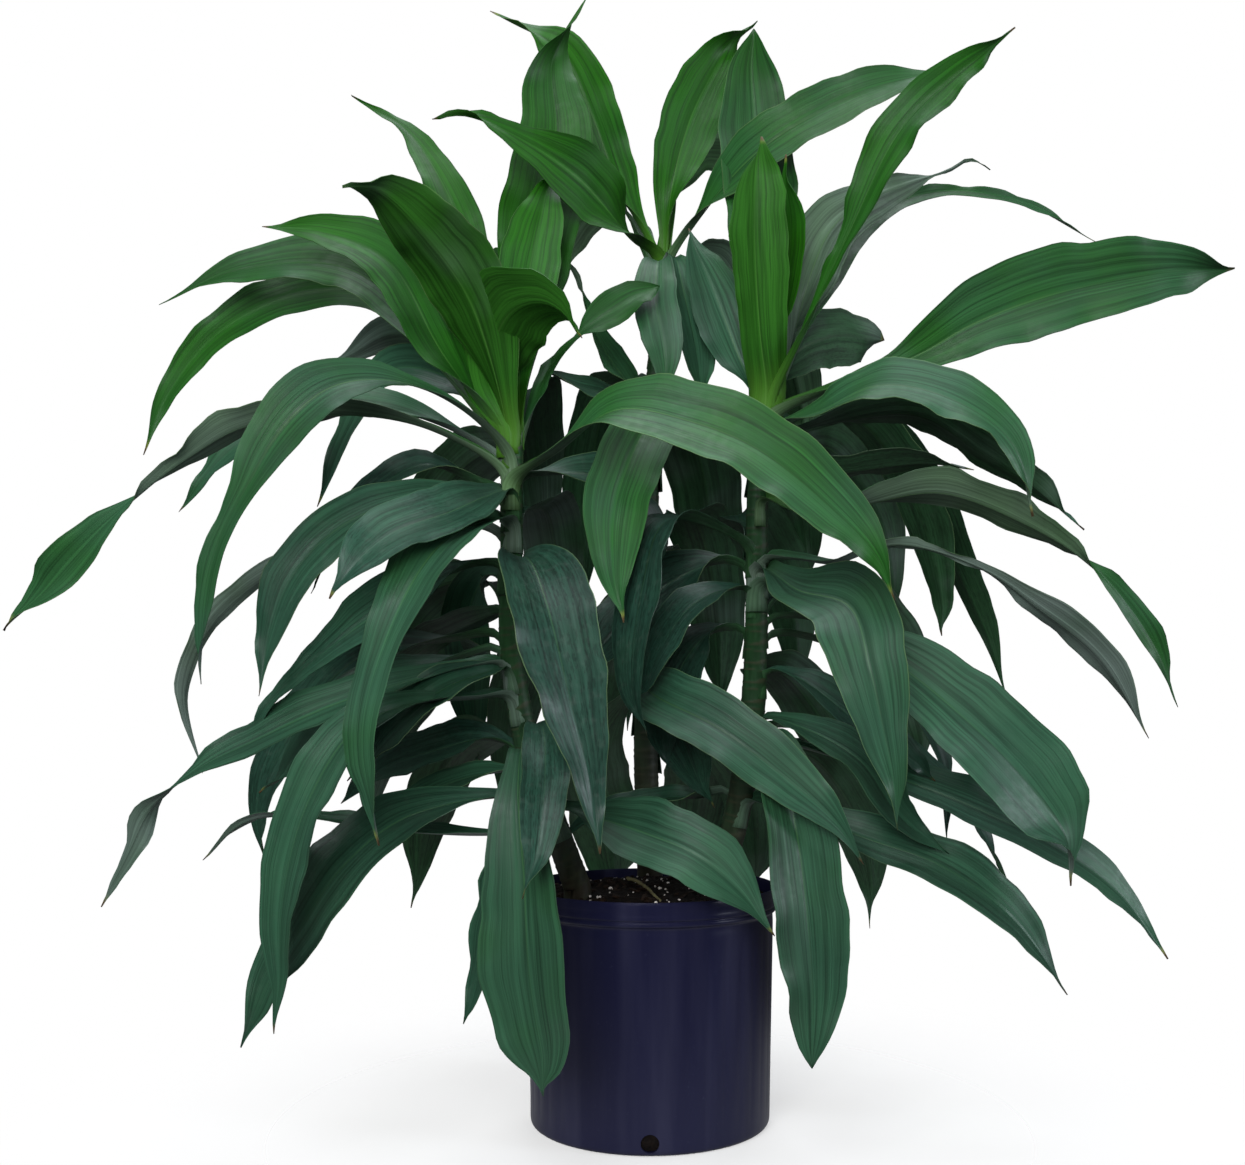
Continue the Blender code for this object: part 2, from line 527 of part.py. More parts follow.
def pot_radius(height):
    """Outer radius of the pot's plain wall at a height."""
    return BASE_RADIUS + (WALL_TOP_RADIUS - BASE_RADIUS) * height / (POT_HEIGHT - RIM_DEPTH)


def cut(target, cutters):
    """Takes each cutter out of the target and removes it."""
    for cutter in cutters:
        cutter.hide_render = True
        cutter.display_type = "WIRE"
        hole = target.modifiers.new("hole", "BOOLEAN")
        hole.operation = "DIFFERENCE"
        hole.object = cutter
        hole.solver = "EXACT"
    bpy.context.view_layer.update()
    scene_now = bpy.context.evaluated_depsgraph_get()
    left = bpy.data.meshes.new_from_object(target.evaluated_get(scene_now))
    target.modifiers.clear()
    target.data = left
    for cutter in cutters:
        bpy.data.objects.remove(cutter, do_unlink=True)


def make_pot(finish):
    """The pot: flat floor, rounded foot, plain wall, a groove, and a thicker rim band."""
    shoulder = POT_HEIGHT - RIM_DEPTH
    foot = [(pot_radius(0) - FOOT_ROUND * (1 - math.sin(a)), FOOT_ROUND * (1 - math.cos(a)))
            for a in np.radians((0, 30, 60, 90))]
    outer = foot + [(pot_radius(shoulder) - 0.0015, shoulder - 0.006),
                    (pot_radius(shoulder) - 0.0015, shoulder - 0.002),
                    (RIM_RADIUS - 0.0008, shoulder), (RIM_RADIUS, shoulder + 0.003),
                    (RIM_RADIUS, POT_HEIGHT - 0.002), (RIM_RADIUS - 0.0015, POT_HEIGHT)]
    inner = [(RIM_RADIUS - WALL - 0.001, POT_HEIGHT), (RIM_RADIUS - WALL - 0.002, shoulder),
             (pot_radius(shoulder) - WALL - 0.0015, shoulder - 0.008),
             (pot_radius(FLOOR) - WALL - FOOT_ROUND * 0.5, FLOOR + FOOT_ROUND * 0.5),
             (pot_radius(FLOOR) - WALL - FOOT_ROUND, FLOOR)]
    profile = [(0.0, 0.0)] + outer + inner + [(0.0, FLOOR)]
    pot = add_object("pot", turned_mesh("pot", profile, POT_SIDES), finish)
    drains = []
    for number in range(DRAIN_COUNT):
        bearing = -0.5 * math.pi + number * 2 * math.pi / DRAIN_COUNT
        place = Matrix.Rotation(bearing, 4, "Z") @ Matrix.Translation((BASE_RADIUS, 0, DRAIN_HEIGHT))
        form = bmesh.new()
        bmesh.ops.create_cone(form, cap_ends=True, segments=12, radius1=DRAIN_RADIUS,
                              radius2=DRAIN_RADIUS, depth=0.03,
                              matrix=place @ Matrix.Rotation(0.5 * math.pi, 4, "Y"))
        mesh = bpy.data.meshes.new("drain")
        form.to_mesh(mesh)
        form.free()
        drains.append(add_object("drain", mesh, finish))
    cut(pot, drains)
    return pot


def soil_height(radius):
    """The soil's top: a low mound that falls to its edge."""
    return SOIL_EDGE_HEIGHT + SOIL_MOUND * (1.0 - (radius / WALL_TOP_RADIUS) ** 2)


def make_soil(finish):
    """The soil fills the pot, a small gap off its wall, with a plain hole for each cane."""
    shoulder = POT_HEIGHT - RIM_DEPTH
    floor_radius = pot_radius(FLOOR) - WALL - FOOT_ROUND - GAP
    low = FLOOR + GAP
    wall_low = (pot_radius(FLOOR) - WALL - FOOT_ROUND * 0.5 - 2 * GAP, FLOOR + FOOT_ROUND * 0.5 + GAP)
    wall_high = (pot_radius(shoulder) - WALL - 0.0015 - 2 * GAP, shoulder - 0.008)
    edge = (RIM_RADIUS - WALL - 0.0018 - 2 * GAP, SOIL_EDGE_HEIGHT)
    tops = [edge[0] * (1 - (n + 1) / (SOIL_RINGS + 1)) for n in range(SOIL_RINGS)]
    profile = [(0.0, low), (floor_radius, low), wall_low, wall_high, edge]
    profile += [(radius, soil_height(radius)) for radius in tops] + [(0.0, soil_height(0.0))]
    soil = add_object("soil", turned_mesh("soil", profile, POT_SIDES), finish)
    holes = []
    for cane in CANE_AXES:
        path, radii = cane_path(cane)
        bottom = path[0] - (0, 0, GAP)
        upper = path[0] * (1, 1, 0) + (0, 0, POT_HEIGHT + 0.03)
        wider = np.full(2, radii[0] + GAP / math.cos(math.pi / CANE_SIDES))
        holes.append(add_object("hole", tube_mesh("hole", np.array([bottom, upper]), wider, CANE_SIDES),
                                finish))
    cut(soil, holes)
    return soil


def barrier_trees(pot, soil):
    """Search trees of what every leaf stays clear of: the pot, the soil and the canes."""
    trees = []
    for piece in (pot, soil):
        trees.append((piece.name, BVHTree.FromPolygons([v.co for v in piece.data.vertices],
                                                       [tuple(p.vertices) for p in piece.data.polygons])))
    for cane in CANE_AXES:
        path, radii = cane_path(cane)
        mesh = tube_mesh("barrier", path, radii + CLEAR_HALF_THICK, CANE_SIDES)
        trees.append((cane, BVHTree.FromPolygons([v.co for v in mesh.vertices],
                                                 [tuple(p.vertices) for p in mesh.polygons])))
        bpy.data.meshes.remove(mesh)
    return trees


def build():
    clear_scene()
    leaf_finish = material("leaf", LEAF_GREEN, 0.45)
    pot = make_pot(material("pot", POT_BLACK, 0.42))
    soil = make_soil(material("soil", SOIL_BROWN, 0.95))
    placed = place_leaves(barrier_trees(pot, soil))
    for cane in CANE_AXES:
        make_cane(cane, [sections for owner, sections in placed if owner == cane], leaf_finish)


build()
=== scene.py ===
"""Potted dracaena, the finished look: three leafy canes in a black nursery pot.

Metres, +Z up, +Y away from the viewer. The origin is the middle of the pot's flat underside.
"""
import math
from types import SimpleNamespace

import bpy
import numpy as np
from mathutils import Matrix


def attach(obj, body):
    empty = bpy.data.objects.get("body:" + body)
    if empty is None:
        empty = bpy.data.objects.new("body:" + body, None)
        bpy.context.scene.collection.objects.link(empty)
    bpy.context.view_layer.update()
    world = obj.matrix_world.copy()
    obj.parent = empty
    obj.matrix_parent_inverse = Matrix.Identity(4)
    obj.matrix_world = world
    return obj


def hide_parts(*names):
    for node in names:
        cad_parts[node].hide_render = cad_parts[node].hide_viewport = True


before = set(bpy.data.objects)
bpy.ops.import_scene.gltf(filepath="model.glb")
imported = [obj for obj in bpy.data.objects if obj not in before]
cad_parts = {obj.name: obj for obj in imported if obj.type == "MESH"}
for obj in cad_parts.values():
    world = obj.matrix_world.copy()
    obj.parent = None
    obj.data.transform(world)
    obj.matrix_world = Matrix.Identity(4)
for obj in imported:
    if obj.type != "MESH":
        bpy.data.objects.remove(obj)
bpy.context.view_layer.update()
MM = 0.001

# Camera: the eye looks level from 1.45 m in front of the pot's middle, a little below half the
# plant's height. The lens is shifted and not tilted, so that upright edges stay upright.
EYE = (0.0, -1.45, 0.436)
PHOTO_WIDTH = 1245.0
PIXELS_PER_METRE_AT_POT = 1000.0
AXIS_RIGHT_OF_MIDDLE, EYE_BELOW_MIDDLE = 27.5, 100.5
SENSOR_WIDTH = 36.0


def new_object(name, data):
    """An object that holds the data, linked into the scene."""
    thing = bpy.data.objects.new(name, data)
    bpy.context.scene.collection.objects.link(thing)
    return thing


lens = bpy.data.cameras.new("eye")
lens.sensor_width = SENSOR_WIDTH
lens.lens = SENSOR_WIDTH * -EYE[1] * PIXELS_PER_METRE_AT_POT / PHOTO_WIDTH
lens.shift_x = -AXIS_RIGHT_OF_MIDDLE / PHOTO_WIDTH
lens.shift_y = EYE_BELOW_MIDDLE / PHOTO_WIDTH
eye = new_object("eye", lens)
eye.location = EYE
eye.rotation_euler = (math.radians(90.0), 0.0, 0.0)
bpy.context.scene.camera = eye
bpy.context.scene.view_settings.view_transform = "Standard"

# Set: a bright, even tent of white cloth all round, with large soft lamps at the front, above, at
# both sides and behind, and a pale floor that fades into the tent. None of it is part of the plant.
TENT_SEEN, TENT_WHITE = 1.0, (1, 1, 1, 1)
TENT_LIGHT, TENT_TINT = 0.065, (0.97, 0.985, 1, 1)
FLOOR_RADIUS, FLOOR_SOLID_RADIUS, FLOOR_FADED_RADIUS = 0.7, 0.1, 0.665
FLOOR_SIDES = 96
FLOOR_SHARE, FLOOR_PALE = 0.5, (0.93, 0.93, 0.93, 1.0)
FLOOR_DROP = 0.3 * MM
LAMPS = (
    # place, aimed at, width and height, watts, colour, and whether gloss mirrors it
    ((-0.5, -3.1, 1.35), (0.0, 0.0, 0.45), (2.0, 1.3), 103.0, (1.0, 0.99, 0.97), False),
    ((-0.9, -2.2, 2.9), (0.0, 0.0, 0.6), (1.5, 1.1), 34.0, (0.93, 0.97, 1.0), True),
    ((2.4, -1.0, 1.2), (0.0, 0.0, 0.4), (0.3, 1.6), 23.0, (0.84, 0.90, 1.0), True),
    ((0.2, 0.2, 3.2), (0.0, 0.0, 0.6), (2.2, 1.8), 44.0, (0.88, 0.94, 1.0), True),
    ((0.5, 3.1, 1.3), (0.0, 0.0, 0.5), (2.4, 1.4), 72.0, (0.97, 0.98, 1.0), False),
    ((-3.1, 0.2, 1.3), (0.0, 0.0, 0.5), (1.8, 1.2), 26.0, (0.97, 0.98, 1.0), False),
)


def feed(tree, node, inputs):
    """Each input of a node is linked to a socket or filled with a value."""
    for key, value in inputs.items():
        if isinstance(value, bpy.types.NodeSocket):
            tree.links.new(value, node.inputs[key])
        else:
            node.inputs[key].default_value = value


def add_node(tree, kind, inputs=None, **settings):
    """One shader node, with its settings and its inputs."""
    node = tree.nodes.new(kind)
    for name, value in settings.items():
        setattr(node, name, value)
    feed(tree, node, inputs or {})
    return node


def spread(tree, value, low, high, to_low=0.0, to_high=1.0, kind="SMOOTHSTEP"):
    """A value from low to high mapped to a new range, with soft ends or LINEAR, and no overshoot."""
    return add_node(tree, "ShaderNodeMapRange", {"Value": value, "From Min": low, "From Max": high,
                                                 "To Min": to_low, "To Max": to_high},
                    interpolation_type=kind).outputs["Result"]


def new_finish(name):
    """A material, its nodes, its shader, and the place of each point on the object."""
    finish = bpy.data.materials.new(name)
    finish.use_nodes = True
    tree = finish.node_tree
    place = add_node(tree, "ShaderNodeTexCoord").outputs["Object"]
    return finish, tree, tree.nodes["Principled BSDF"], place


def put_up_tent():
    """White for the eye, and a dimmer white as light on the plant."""
    tent = bpy.data.worlds.new("tent")
    tent.use_nodes = True
    tree = tent.node_tree
    tree.nodes.clear()
    seen = add_node(tree, "ShaderNodeBackground", {"Strength": TENT_SEEN, "Color": TENT_WHITE})
    light = add_node(tree, "ShaderNodeBackground", {"Strength": TENT_LIGHT, "Color": TENT_TINT})
    ray = add_node(tree, "ShaderNodeLightPath")
    pick = add_node(tree, "ShaderNodeMixShader",
                    {0: ray.outputs["Is Camera Ray"], 1: light.outputs[0], 2: seen.outputs[0]})
    add_node(tree, "ShaderNodeOutputWorld", {"Surface": pick.outputs[0]})
    bpy.context.scene.world = tent


def hang_lamp(name, place, aim, size, watts, colour, mirrored):
    """A soft rectangular lamp at a place, turned to face the point that it is aimed at."""
    lamp = bpy.data.lights.new(name, "AREA")
    lamp.shape = "RECTANGLE"
    lamp.size, lamp.size_y = size
    lamp.energy = watts
    lamp.color = colour
    holder = new_object(name, lamp)
    x, y, z = (a - p for a, p in zip(aim, place))
    holder.location = place
    holder.rotation_euler = (math.acos(-z / math.sqrt(x * x + y * y + z * z)), 0.0,
                             math.atan2(y, x) - math.pi / 2)
    holder.visible_glossy = mirrored


def lay_floor():
    """A flat disc. Its finish covers half of the white behind it and fades to clear at its rim."""
    turn = np.linspace(0.0, 2 * math.pi, FLOOR_SIDES, endpoint=False)
    ring = np.stack([FLOOR_RADIUS * np.cos(turn), FLOOR_RADIUS * np.sin(turn),
                     np.full(FLOOR_SIDES, -FLOOR_DROP)], axis=1)
    mesh = bpy.data.meshes.new("floor")
    mesh.from_pydata(ring.tolist(), [], [list(range(FLOOR_SIDES))])
    cloth, tree, shader, place = new_finish("floor_cloth")
    away = add_node(tree, "ShaderNodeVectorMath", {0: place}, operation="LENGTH").outputs["Value"]
    cover = spread(tree, away, FLOOR_SOLID_RADIUS, FLOOR_FADED_RADIUS, FLOOR_SHARE, 0.0)
    feed(tree, shader, {"Base Color": FLOOR_PALE, "Roughness": 0.9, "Alpha": cover})
    mesh.materials.append(cloth)
    new_object("floor", mesh)


put_up_tent()
for lamp_number, lamp_facts in enumerate(LAMPS):
    hang_lamp("lamp_%d" % lamp_number, *lamp_facts)
lay_floor()

# Pot: a black nursery pot of thin blown plastic, with a stiff rim band over a groove and a bead,
# faint upright flutes down its wall, a rounded foot and four drain holes low in the wall.
POT_OUTSIDE = (
    # radius and height in millimetres, from the middle of the underside up to the lip
    (0, 0), (60, 0), (108, 0), (113, 0), (115.6, 0.5), (117.6, 1.9), (118.8, 4.2), (119.05, 7),
    (119.1, 10), (119.3, 24), (119.9, 60), (120.6, 100), (121.3, 140), (121.9, 175), (122.35, 196),
    (122.4, 202), (122.2, 205), (122.15, 208.5), (122.7, 210.4), (124.6, 211.6), (125.6, 212.4),
    (125.95, 213.4), (125.9, 214.6), (125.6, 215.5), (124.7, 216.2), (124.7, 217.2), (125.6, 217.8),
    (126, 218.6), (126, 221.5), (125.75, 222.6), (125.75, 226), (126, 227.3), (126, 231),
    (125.8, 233.3), (125.2, 234.6), (124.7, 235), (124.2, 234.8),
)
POT_INSIDE = (
    # from the lip down to the middle of the floor
    (123.9, 234.2), (123.6, 231), (122.6, 213), (120.2, 208), (119.7, 203), (118.6, 120),
    (117, 30), (116.4, 10), (115.2, 5.2), (112, 2.7), (100, 2.5), (50, 2.5), (0, 2.5),
)
FLUTES = 40
FLUTE_DEPTH = 0.45
FLUTE_FOOT, FLUTE_HEAD = 12.0, 200.0
WALL_WANDER = 0.22
POT_TURNS = 320
DRAINS = 4
DRAIN_RADIUS, DRAIN_HEIGHT = 8.6, 12.6
BAR_START, BAR_END, BAR_SIDES = 105, 130, 40
SHARP_ANGLE = 38
# The pale colour of the upright streaks is partly scuffs and partly painted sheen down the wall.
POT_BLACK, POT_SCUFF_AND_SHEEN = (0.0086, 0.0092, 0.031, 1.0), (0.030, 0.031, 0.062, 1.0)
POT_STREAKS = (34, 34, 3.2)


def fine_profile(corners, times):
    """The same profile with each corner cut: every side gives points at its quarters."""
    line = np.array(corners, dtype=float)
    for _ in range(times):
        near = 0.75 * line[:-1] + 0.25 * line[1:]
        far = 0.25 * line[:-1] + 0.75 * line[1:]
        line = np.vstack([line[:1], np.stack([near, far], axis=1).reshape(-1, 2)[1:-1], line[-1:]])
    return line


def mesh_of_quads(name, points, quads, tips=None):
    """A smooth mesh of four-sided faces, and triangles where a row of a grid ends in a point."""
    points = np.asarray(points, dtype=np.float32)
    corners = [np.asarray(quads, dtype=np.int32).ravel()]
    sizes = [np.full(len(quads), 4, dtype=np.int32)]
    if tips is not None:
        corners.append(np.asarray(tips, dtype=np.int32).ravel())
        sizes.append(np.full(len(tips), 3, dtype=np.int32))
    corners, sizes = np.concatenate(corners), np.concatenate(sizes)
    starts = np.concatenate([[0], np.cumsum(sizes)[:-1]]).astype(np.int32)
    mesh = bpy.data.meshes.new(name)
    mesh.vertices.add(len(points))
    mesh.vertices.foreach_set("co", points.ravel())
    mesh.loops.add(len(corners))
    mesh.loops.foreach_set("vertex_index", corners)
    mesh.polygons.add(len(sizes))
    mesh.polygons.foreach_set("loop_start", starts)
    mesh.polygons.foreach_set("use_smooth", np.ones(len(sizes), dtype=bool))
    mesh.update(calc_edges=True)
    return mesh


def tube_faces(rings, sides):
    """Four-sided faces between rings of points, and triangles that close the first and the last
    ring round the two points that come after all the rings."""
    first, after = np.arange(sides), (np.arange(sides) + 1) % sides
    starts = np.arange(rings - 1)[:, None] * sides
    a, b = (starts + first).ravel(), (starts + after).ravel()
    last, end = (rings - 1) * sides, np.full(sides, rings * sides)
    tips = np.vstack([np.stack([end, after, first], axis=1),
                      np.stack([end + 1, first + last, after + last], axis=1)])
    return np.stack([a, b, b + sides, a + sides], axis=1), tips


def turned(profile, turns, swell):
    """A profile of radius and height in millimetres carried round the axis: x = r cos a,
    y = r sin a, z = height, with r + swell(a, height). Both ends of the profile are on the axis,
    where the ring is one point closed by a fan of triangles."""
    turn = np.arange(turns) * 2 * math.pi / turns
    ring_radius, ring_height = profile[1:-1, 0][:, None], profile[1:-1, 1][:, None]
    radius = ring_radius + swell(turn[None, :], ring_height)
    rings = np.stack([radius * np.cos(turn), radius * np.sin(turn),
                      np.broadcast_to(ring_height, radius.shape)], axis=2).reshape(-1, 3)
    points = np.vstack([rings, [(0, 0, profile[0, 1]), (0, 0, profile[-1, 1])]]) * MM
    return points, *tube_faces(len(profile) - 2, turns)


def pot_swell(turn, height):
    """Flutes: a rounded saw of FLUTES waves round the wall, faded in above the foot and out below
    the rim, plus a slow wander of the thin wall, the sum of two sines of angle and height."""
    fade = np.clip((height - FLUTE_FOOT) / 12, 0, 1) * np.clip((FLUTE_HEAD - height) / 10, 0, 1)
    wave = np.abs(np.sin(turn * FLUTES / 2)) ** 0.6
    wander = np.sin(3 * turn + 0.8 + height / 90) + 0.6 * np.sin(5 * turn - height / 60)
    return fade * (WALL_WANDER * wander - FLUTE_DEPTH * (1 - wave))


def add_piece(name, mesh, finishes, slot, *nodes):
    """A piece of the plant: its finishes, and the nodes that it stands for. The slot is not used."""
    piece = new_object(name, mesh)
    for finish in finishes:
        mesh.materials.append(finish)
    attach(piece, "root")
    if nodes:
        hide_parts(*nodes)


def drain_bars():
    """Short round bars, one for each drain hole, set a quarter turn apart. Each starts inside the
    pot and ends outside it: rings of points at ring + out * distance, square to its bearing."""
    turn = np.arange(BAR_SIDES) * 2 * math.pi / BAR_SIDES
    points, sides, ends = [], [], []
    for drain in range(DRAINS):
        bearing = -math.pi / 2 + drain * 2 * math.pi / DRAINS
        out = np.array([math.cos(bearing), math.sin(bearing), 0])
        side = np.array([-math.sin(bearing), math.cos(bearing), 0])
        ring = (np.cos(turn)[:, None] * side + np.sin(turn)[:, None] * (0, 0, 1)) * DRAIN_RADIUS
        ring = ring + (0, 0, DRAIN_HEIGHT)
        points.append(np.vstack([ring + out * BAR_START, ring + out * BAR_END]))
        start = drain * 2 * BAR_SIDES
        first, after = np.arange(BAR_SIDES) + start, (np.arange(BAR_SIDES) + 1) % BAR_SIDES + start
        sides.append(np.stack([first, after, after + BAR_SIDES, first + BAR_SIDES], axis=1))
        ends += [first[::-1].tolist(), (first + BAR_SIDES).tolist()]
    mesh = bpy.data.meshes.new("bars")
    mesh.from_pydata((np.vstack(points) * MM).tolist(), [], np.vstack(sides).tolist() + ends)
    return new_object("bars", mesh)


def bored_pot():
    """The turned pot less the drain bars. Its edges stay sharp where faces meet at a steep angle."""
    profile = np.vstack([fine_profile(POT_OUTSIDE, 1), fine_profile(POT_INSIDE, 1)])
    pot = new_object("pot_blank", mesh_of_quads("pot_shell", *turned(profile, POT_TURNS, pot_swell)))
    bars = drain_bars()
    bore = pot.modifiers.new("bore", "BOOLEAN")
    bore.operation = "DIFFERENCE"
    bore.object = bars
    bore.solver = "EXACT"
    bpy.context.view_layer.update()
    mesh = bpy.data.meshes.new_from_object(pot.evaluated_get(bpy.context.evaluated_depsgraph_get()))
    mesh.set_sharp_from_angle(angle=math.radians(SHARP_ANGLE))
    for blank in (pot, bars):
        bpy.data.objects.remove(blank, do_unlink=True)
    return mesh


def calc(tree, kind, a, b=0.0, clamp=False):
    """One step of arithmetic on two values."""
    return add_node(tree, "ShaderNodeMath", {0: a, 1: b}, operation=kind, use_clamp=clamp).outputs[0]


def times(tree, product, *factors):
    """The product of several values, taken from left to right."""
    for factor in factors:
        product = calc(tree, "MULTIPLY", product, factor)
    return product


def noise(tree, place, scale, detail, roughness=0.5):
    """A smooth random value about a half, with its lumps 1 / scale apart."""
    return add_node(tree, "ShaderNodeTexNoise", {"Vector": place, "Scale": scale, "Detail": detail,
                                                 "Roughness": roughness}).outputs[0]


def drawn_out(tree, place, scale):
    """The place multiplied by a scale for each axis, so that a noise there is pulled out."""
    return add_node(tree, "ShaderNodeMapping", {0: place, "Scale": scale}).outputs[0]


def tinted(tree, share, under, over, kind="MIX"):
    """A colour laid over another by a share."""
    return add_node(tree, "ShaderNodeMix", {0: share, 6: under, 7: over}, data_type="RGBA",
                    blend_type=kind).outputs[2]


def relief(tree, height, strength, rise, under=None):
    """Fine relief, of a rise in millimetres where the height is 1, over any other relief."""
    inputs = {"Strength": strength, "Distance": rise * MM, "Height": height}
    if under:
        inputs["Normal"] = under
    return add_node(tree, "ShaderNodeBump", inputs).outputs[0]


def pot_finish():
    """Blue-black plastic: pale grey upright streaks where a stretched noise peaks, partly scuffs and
    partly painted sheen, and a satin gloss that a finer noise breaks up, with the faint ripple of a
    blown wall."""
    finish, tree, shader, place = new_finish("pot_plastic")
    streak = noise(tree, drawn_out(tree, place, POT_STREAKS), 1.0, 3.0)
    grain, patch = noise(tree, place, 260.0, 3.0), noise(tree, place, 16.0, 4.0)
    # Pale upright streaks on the wall: partly scuffs and partly painted sheen.
    worn_and_sheen = spread(tree, streak, 0.46, 0.78, kind="LINEAR")
    specks = times(tree, spread(tree, grain, 0.64, 0.74, kind="LINEAR"), patch)
    share = times(tree, calc(tree, "MAXIMUM", worn_and_sheen, specks), 0.55)
    ripple = relief(tree, streak, 0.25, 0.4)
    feed(tree, shader, {"Base Color": tinted(tree, share, POT_BLACK, POT_SCUFF_AND_SHEEN),
                        "Roughness": spread(tree, patch, 0.0, 1.0, 0.28, 0.42, "LINEAR"),
                        "Specular IOR Level": 0.3,
                        "Normal": relief(tree, grain, 0.12, 0.1, ripple)})
    return finish


add_piece("pot_shell", bored_pot(), [pot_finish()], "pot", "pot")

# Soil: potting mix of peat and fine bark, its colours darker than the mix's own as painted shade
# under the leaves, mounded a little towards the middle, with white perlite grains, bark chips and
# one dry twig lying on it. It is filled in by hand and firmed.
SOIL_RADIUS = 121.6
SOIL_EDGE, SOIL_MOUND = 222.0, 14.0
SOIL_ROWS, SOIL_TURNS = 90, 230
SOIL_UNDER = ((0, 2.8), (112.4, 2.8), (115.4, 5.8), (118.4, 120), (119.2, 203), (119.6, 208),
              (121.4, 218))
# Size and rise of each kind of clod, and the seed of its draws
CLODS = ((17.0, 2.6, 3), (6.5, 1.7, 5), (2.6, 1.0, 7))
LATTICE = 128
PERLITE_COUNT, CHIP_COUNT = 95, 190
PERLITE_SEED, CHIP_SEED = 11, 23
GRAIN_SIDES, GRAIN_TILTS = 8, (-60, -30, 0, 30, 60)
TWIG = ((-22.0, -18.0, 243.0), (-14.0, -30.0, 242.5), (-3.0, -47.0, 238.0), (3.0, -66.0, 234.6),
        (10.0, -88.0, 231.2))
TWIG_ROWS, TWIG_SIDES = 60, 12
SPAN_STEPS = 24
# Both soil colours are darker than the mix's own tone: painted shade under the leaves.
SOIL_DARK, SOIL_BROWN = (0.0028, 0.0020, 0.0020, 1.0), (0.010, 0.0065, 0.0052, 1.0)
PERLITE_WHITE, PERLITE_GREY = (0.75, 0.72, 0.70, 1.0), (0.34, 0.31, 0.29, 1.0)
CHIP_BROWN, CHIP_DARK = (0.026, 0.016, 0.011, 1.0), (0.008, 0.0055, 0.0045, 1.0)
TWIG_OLIVE, TWIG_BROWN = (0.15, 0.145, 0.07, 1.0), (0.07, 0.06, 0.035, 1.0)


def clods(x, y):
    """Height of the crumbs: for each cell size, heights drawn once for the corners of a square
    lattice and blended smoothly between the four corners round a point, then added up."""
    total = np.zeros_like(x)
    for cell, rise, seed in CLODS:
        lattice = np.random.default_rng(seed).uniform(-1, 1, (LATTICE, LATTICE))
        u, v = x / cell + 60, y / cell + 60
        i, j = np.floor(u).astype(int), np.floor(v).astype(int)
        s, t = u - i, v - j
        s, t = s * s * (3 - 2 * s), t * t * (3 - 2 * t)
        i, j, k, m = i % LATTICE, j % LATTICE, (i + 1) % LATTICE, (j + 1) % LATTICE
        total += rise * ((lattice[i, j] * (1 - s) + lattice[k, j] * s) * (1 - t)
                         + (lattice[i, m] * (1 - s) + lattice[k, m] * s) * t)
    return total


def soil_top(x, y):
    """The mound, a bowl of revolution upside down, with the crumbs on it, all in millimetres."""
    radius = np.hypot(x, y) / SOIL_RADIUS
    fade = np.clip((1.02 - radius) * 6, 0.15, 1)
    return SOIL_EDGE + SOIL_MOUND * (1 - radius ** 2) + clods(x, y) * fade


def soil_mesh():
    """The under side and wall as a turned profile, and on it a round grid for the top whose
    height is the mound plus the crumbs."""
    under = fine_profile(SOIL_UNDER, 1)
    across = np.linspace(SOIL_RADIUS, 0.0, SOIL_ROWS)
    profile = np.vstack([under, np.stack([across, np.full(SOIL_ROWS, SOIL_EDGE)], axis=1)])
    points, quads, tips = turned(profile, SOIL_TURNS, lambda turn, height: 0.0 * turn * height)
    top = slice((len(under) - 1) * SOIL_TURNS, len(points) - 2)
    points[top, 2] = soil_top(points[top, 0] / MM, points[top, 1] / MM) * MM
    points[-1, 2] = soil_top(np.zeros(1), np.zeros(1))[0] * MM
    return mesh_of_quads("soil_mix", points, quads, tips)


def scattered(count, seed, reach):
    """Places spread evenly over a disc: radius = reach times the root of a draw, any bearing."""
    draw = np.random.default_rng(seed)
    radius, turn = reach * np.sqrt(draw.uniform(0, 1, count)), draw.uniform(0, 2 * math.pi, count)
    return radius * np.cos(turn), radius * np.sin(turn), draw


def unit(vectors):
    """Each vector brought to length 1."""
    return vectors / np.linalg.norm(vectors, axis=-1, keepdims=True)


def turned_any_way(draw, count):
    """A random turn for each grain: two random directions made square to each other."""
    a, b = draw.normal(size=(2, count, 3))
    a = unit(a)
    b = unit(b - a * np.sum(a * b, axis=1, keepdims=True))
    return np.stack([a, b, np.cross(a, b)], axis=1)


def repeated(faces, count, points_each):
    """The faces of a shape again for each copy of it."""
    steps = (np.arange(count) * points_each)[:, None, None]
    return (faces + steps).reshape(-1, faces.shape[1])


def perlite_mesh():
    """Popped grains: an eight-point ball of five rings, each point pushed in or out by a draw,
    with the grain's size, turn and place from draws too, half sunk in the soil."""
    x, y, draw = scattered(PERLITE_COUNT, PERLITE_SEED, SOIL_RADIUS - 4)
    size = draw.uniform(0.6, 1.4, PERLITE_COUNT)
    size = size * np.where(draw.uniform(0, 1, PERLITE_COUNT) > 0.85, 1.5, 1)
    turn = np.arange(GRAIN_SIDES) * 2 * math.pi / GRAIN_SIDES
    tilt = np.radians(GRAIN_TILTS)[:, None]
    ball = np.stack([np.cos(tilt) * np.cos(turn), np.cos(tilt) * np.sin(turn),
                     np.sin(tilt) + 0 * turn], axis=2).reshape(-1, 3)
    ball = np.vstack([ball, (0, 0, -1), (0, 0, 1)])
    swell = draw.uniform(0.72, 1.25, (PERLITE_COUNT, len(ball), 1))
    shapes = ball[None] * swell * size[:, None, None] @ turned_any_way(draw, PERLITE_COUNT)
    places = np.stack([x, y, soil_top(x, y) + 0.35 * size], axis=1)
    points = ((shapes + places[:, None]) * MM).reshape(-1, 3)
    quads, tips = (repeated(faces, PERLITE_COUNT, len(ball))
                   for faces in tube_faces(len(GRAIN_TILTS), GRAIN_SIDES))
    return mesh_of_quads("perlite_grains", points, quads, tips)


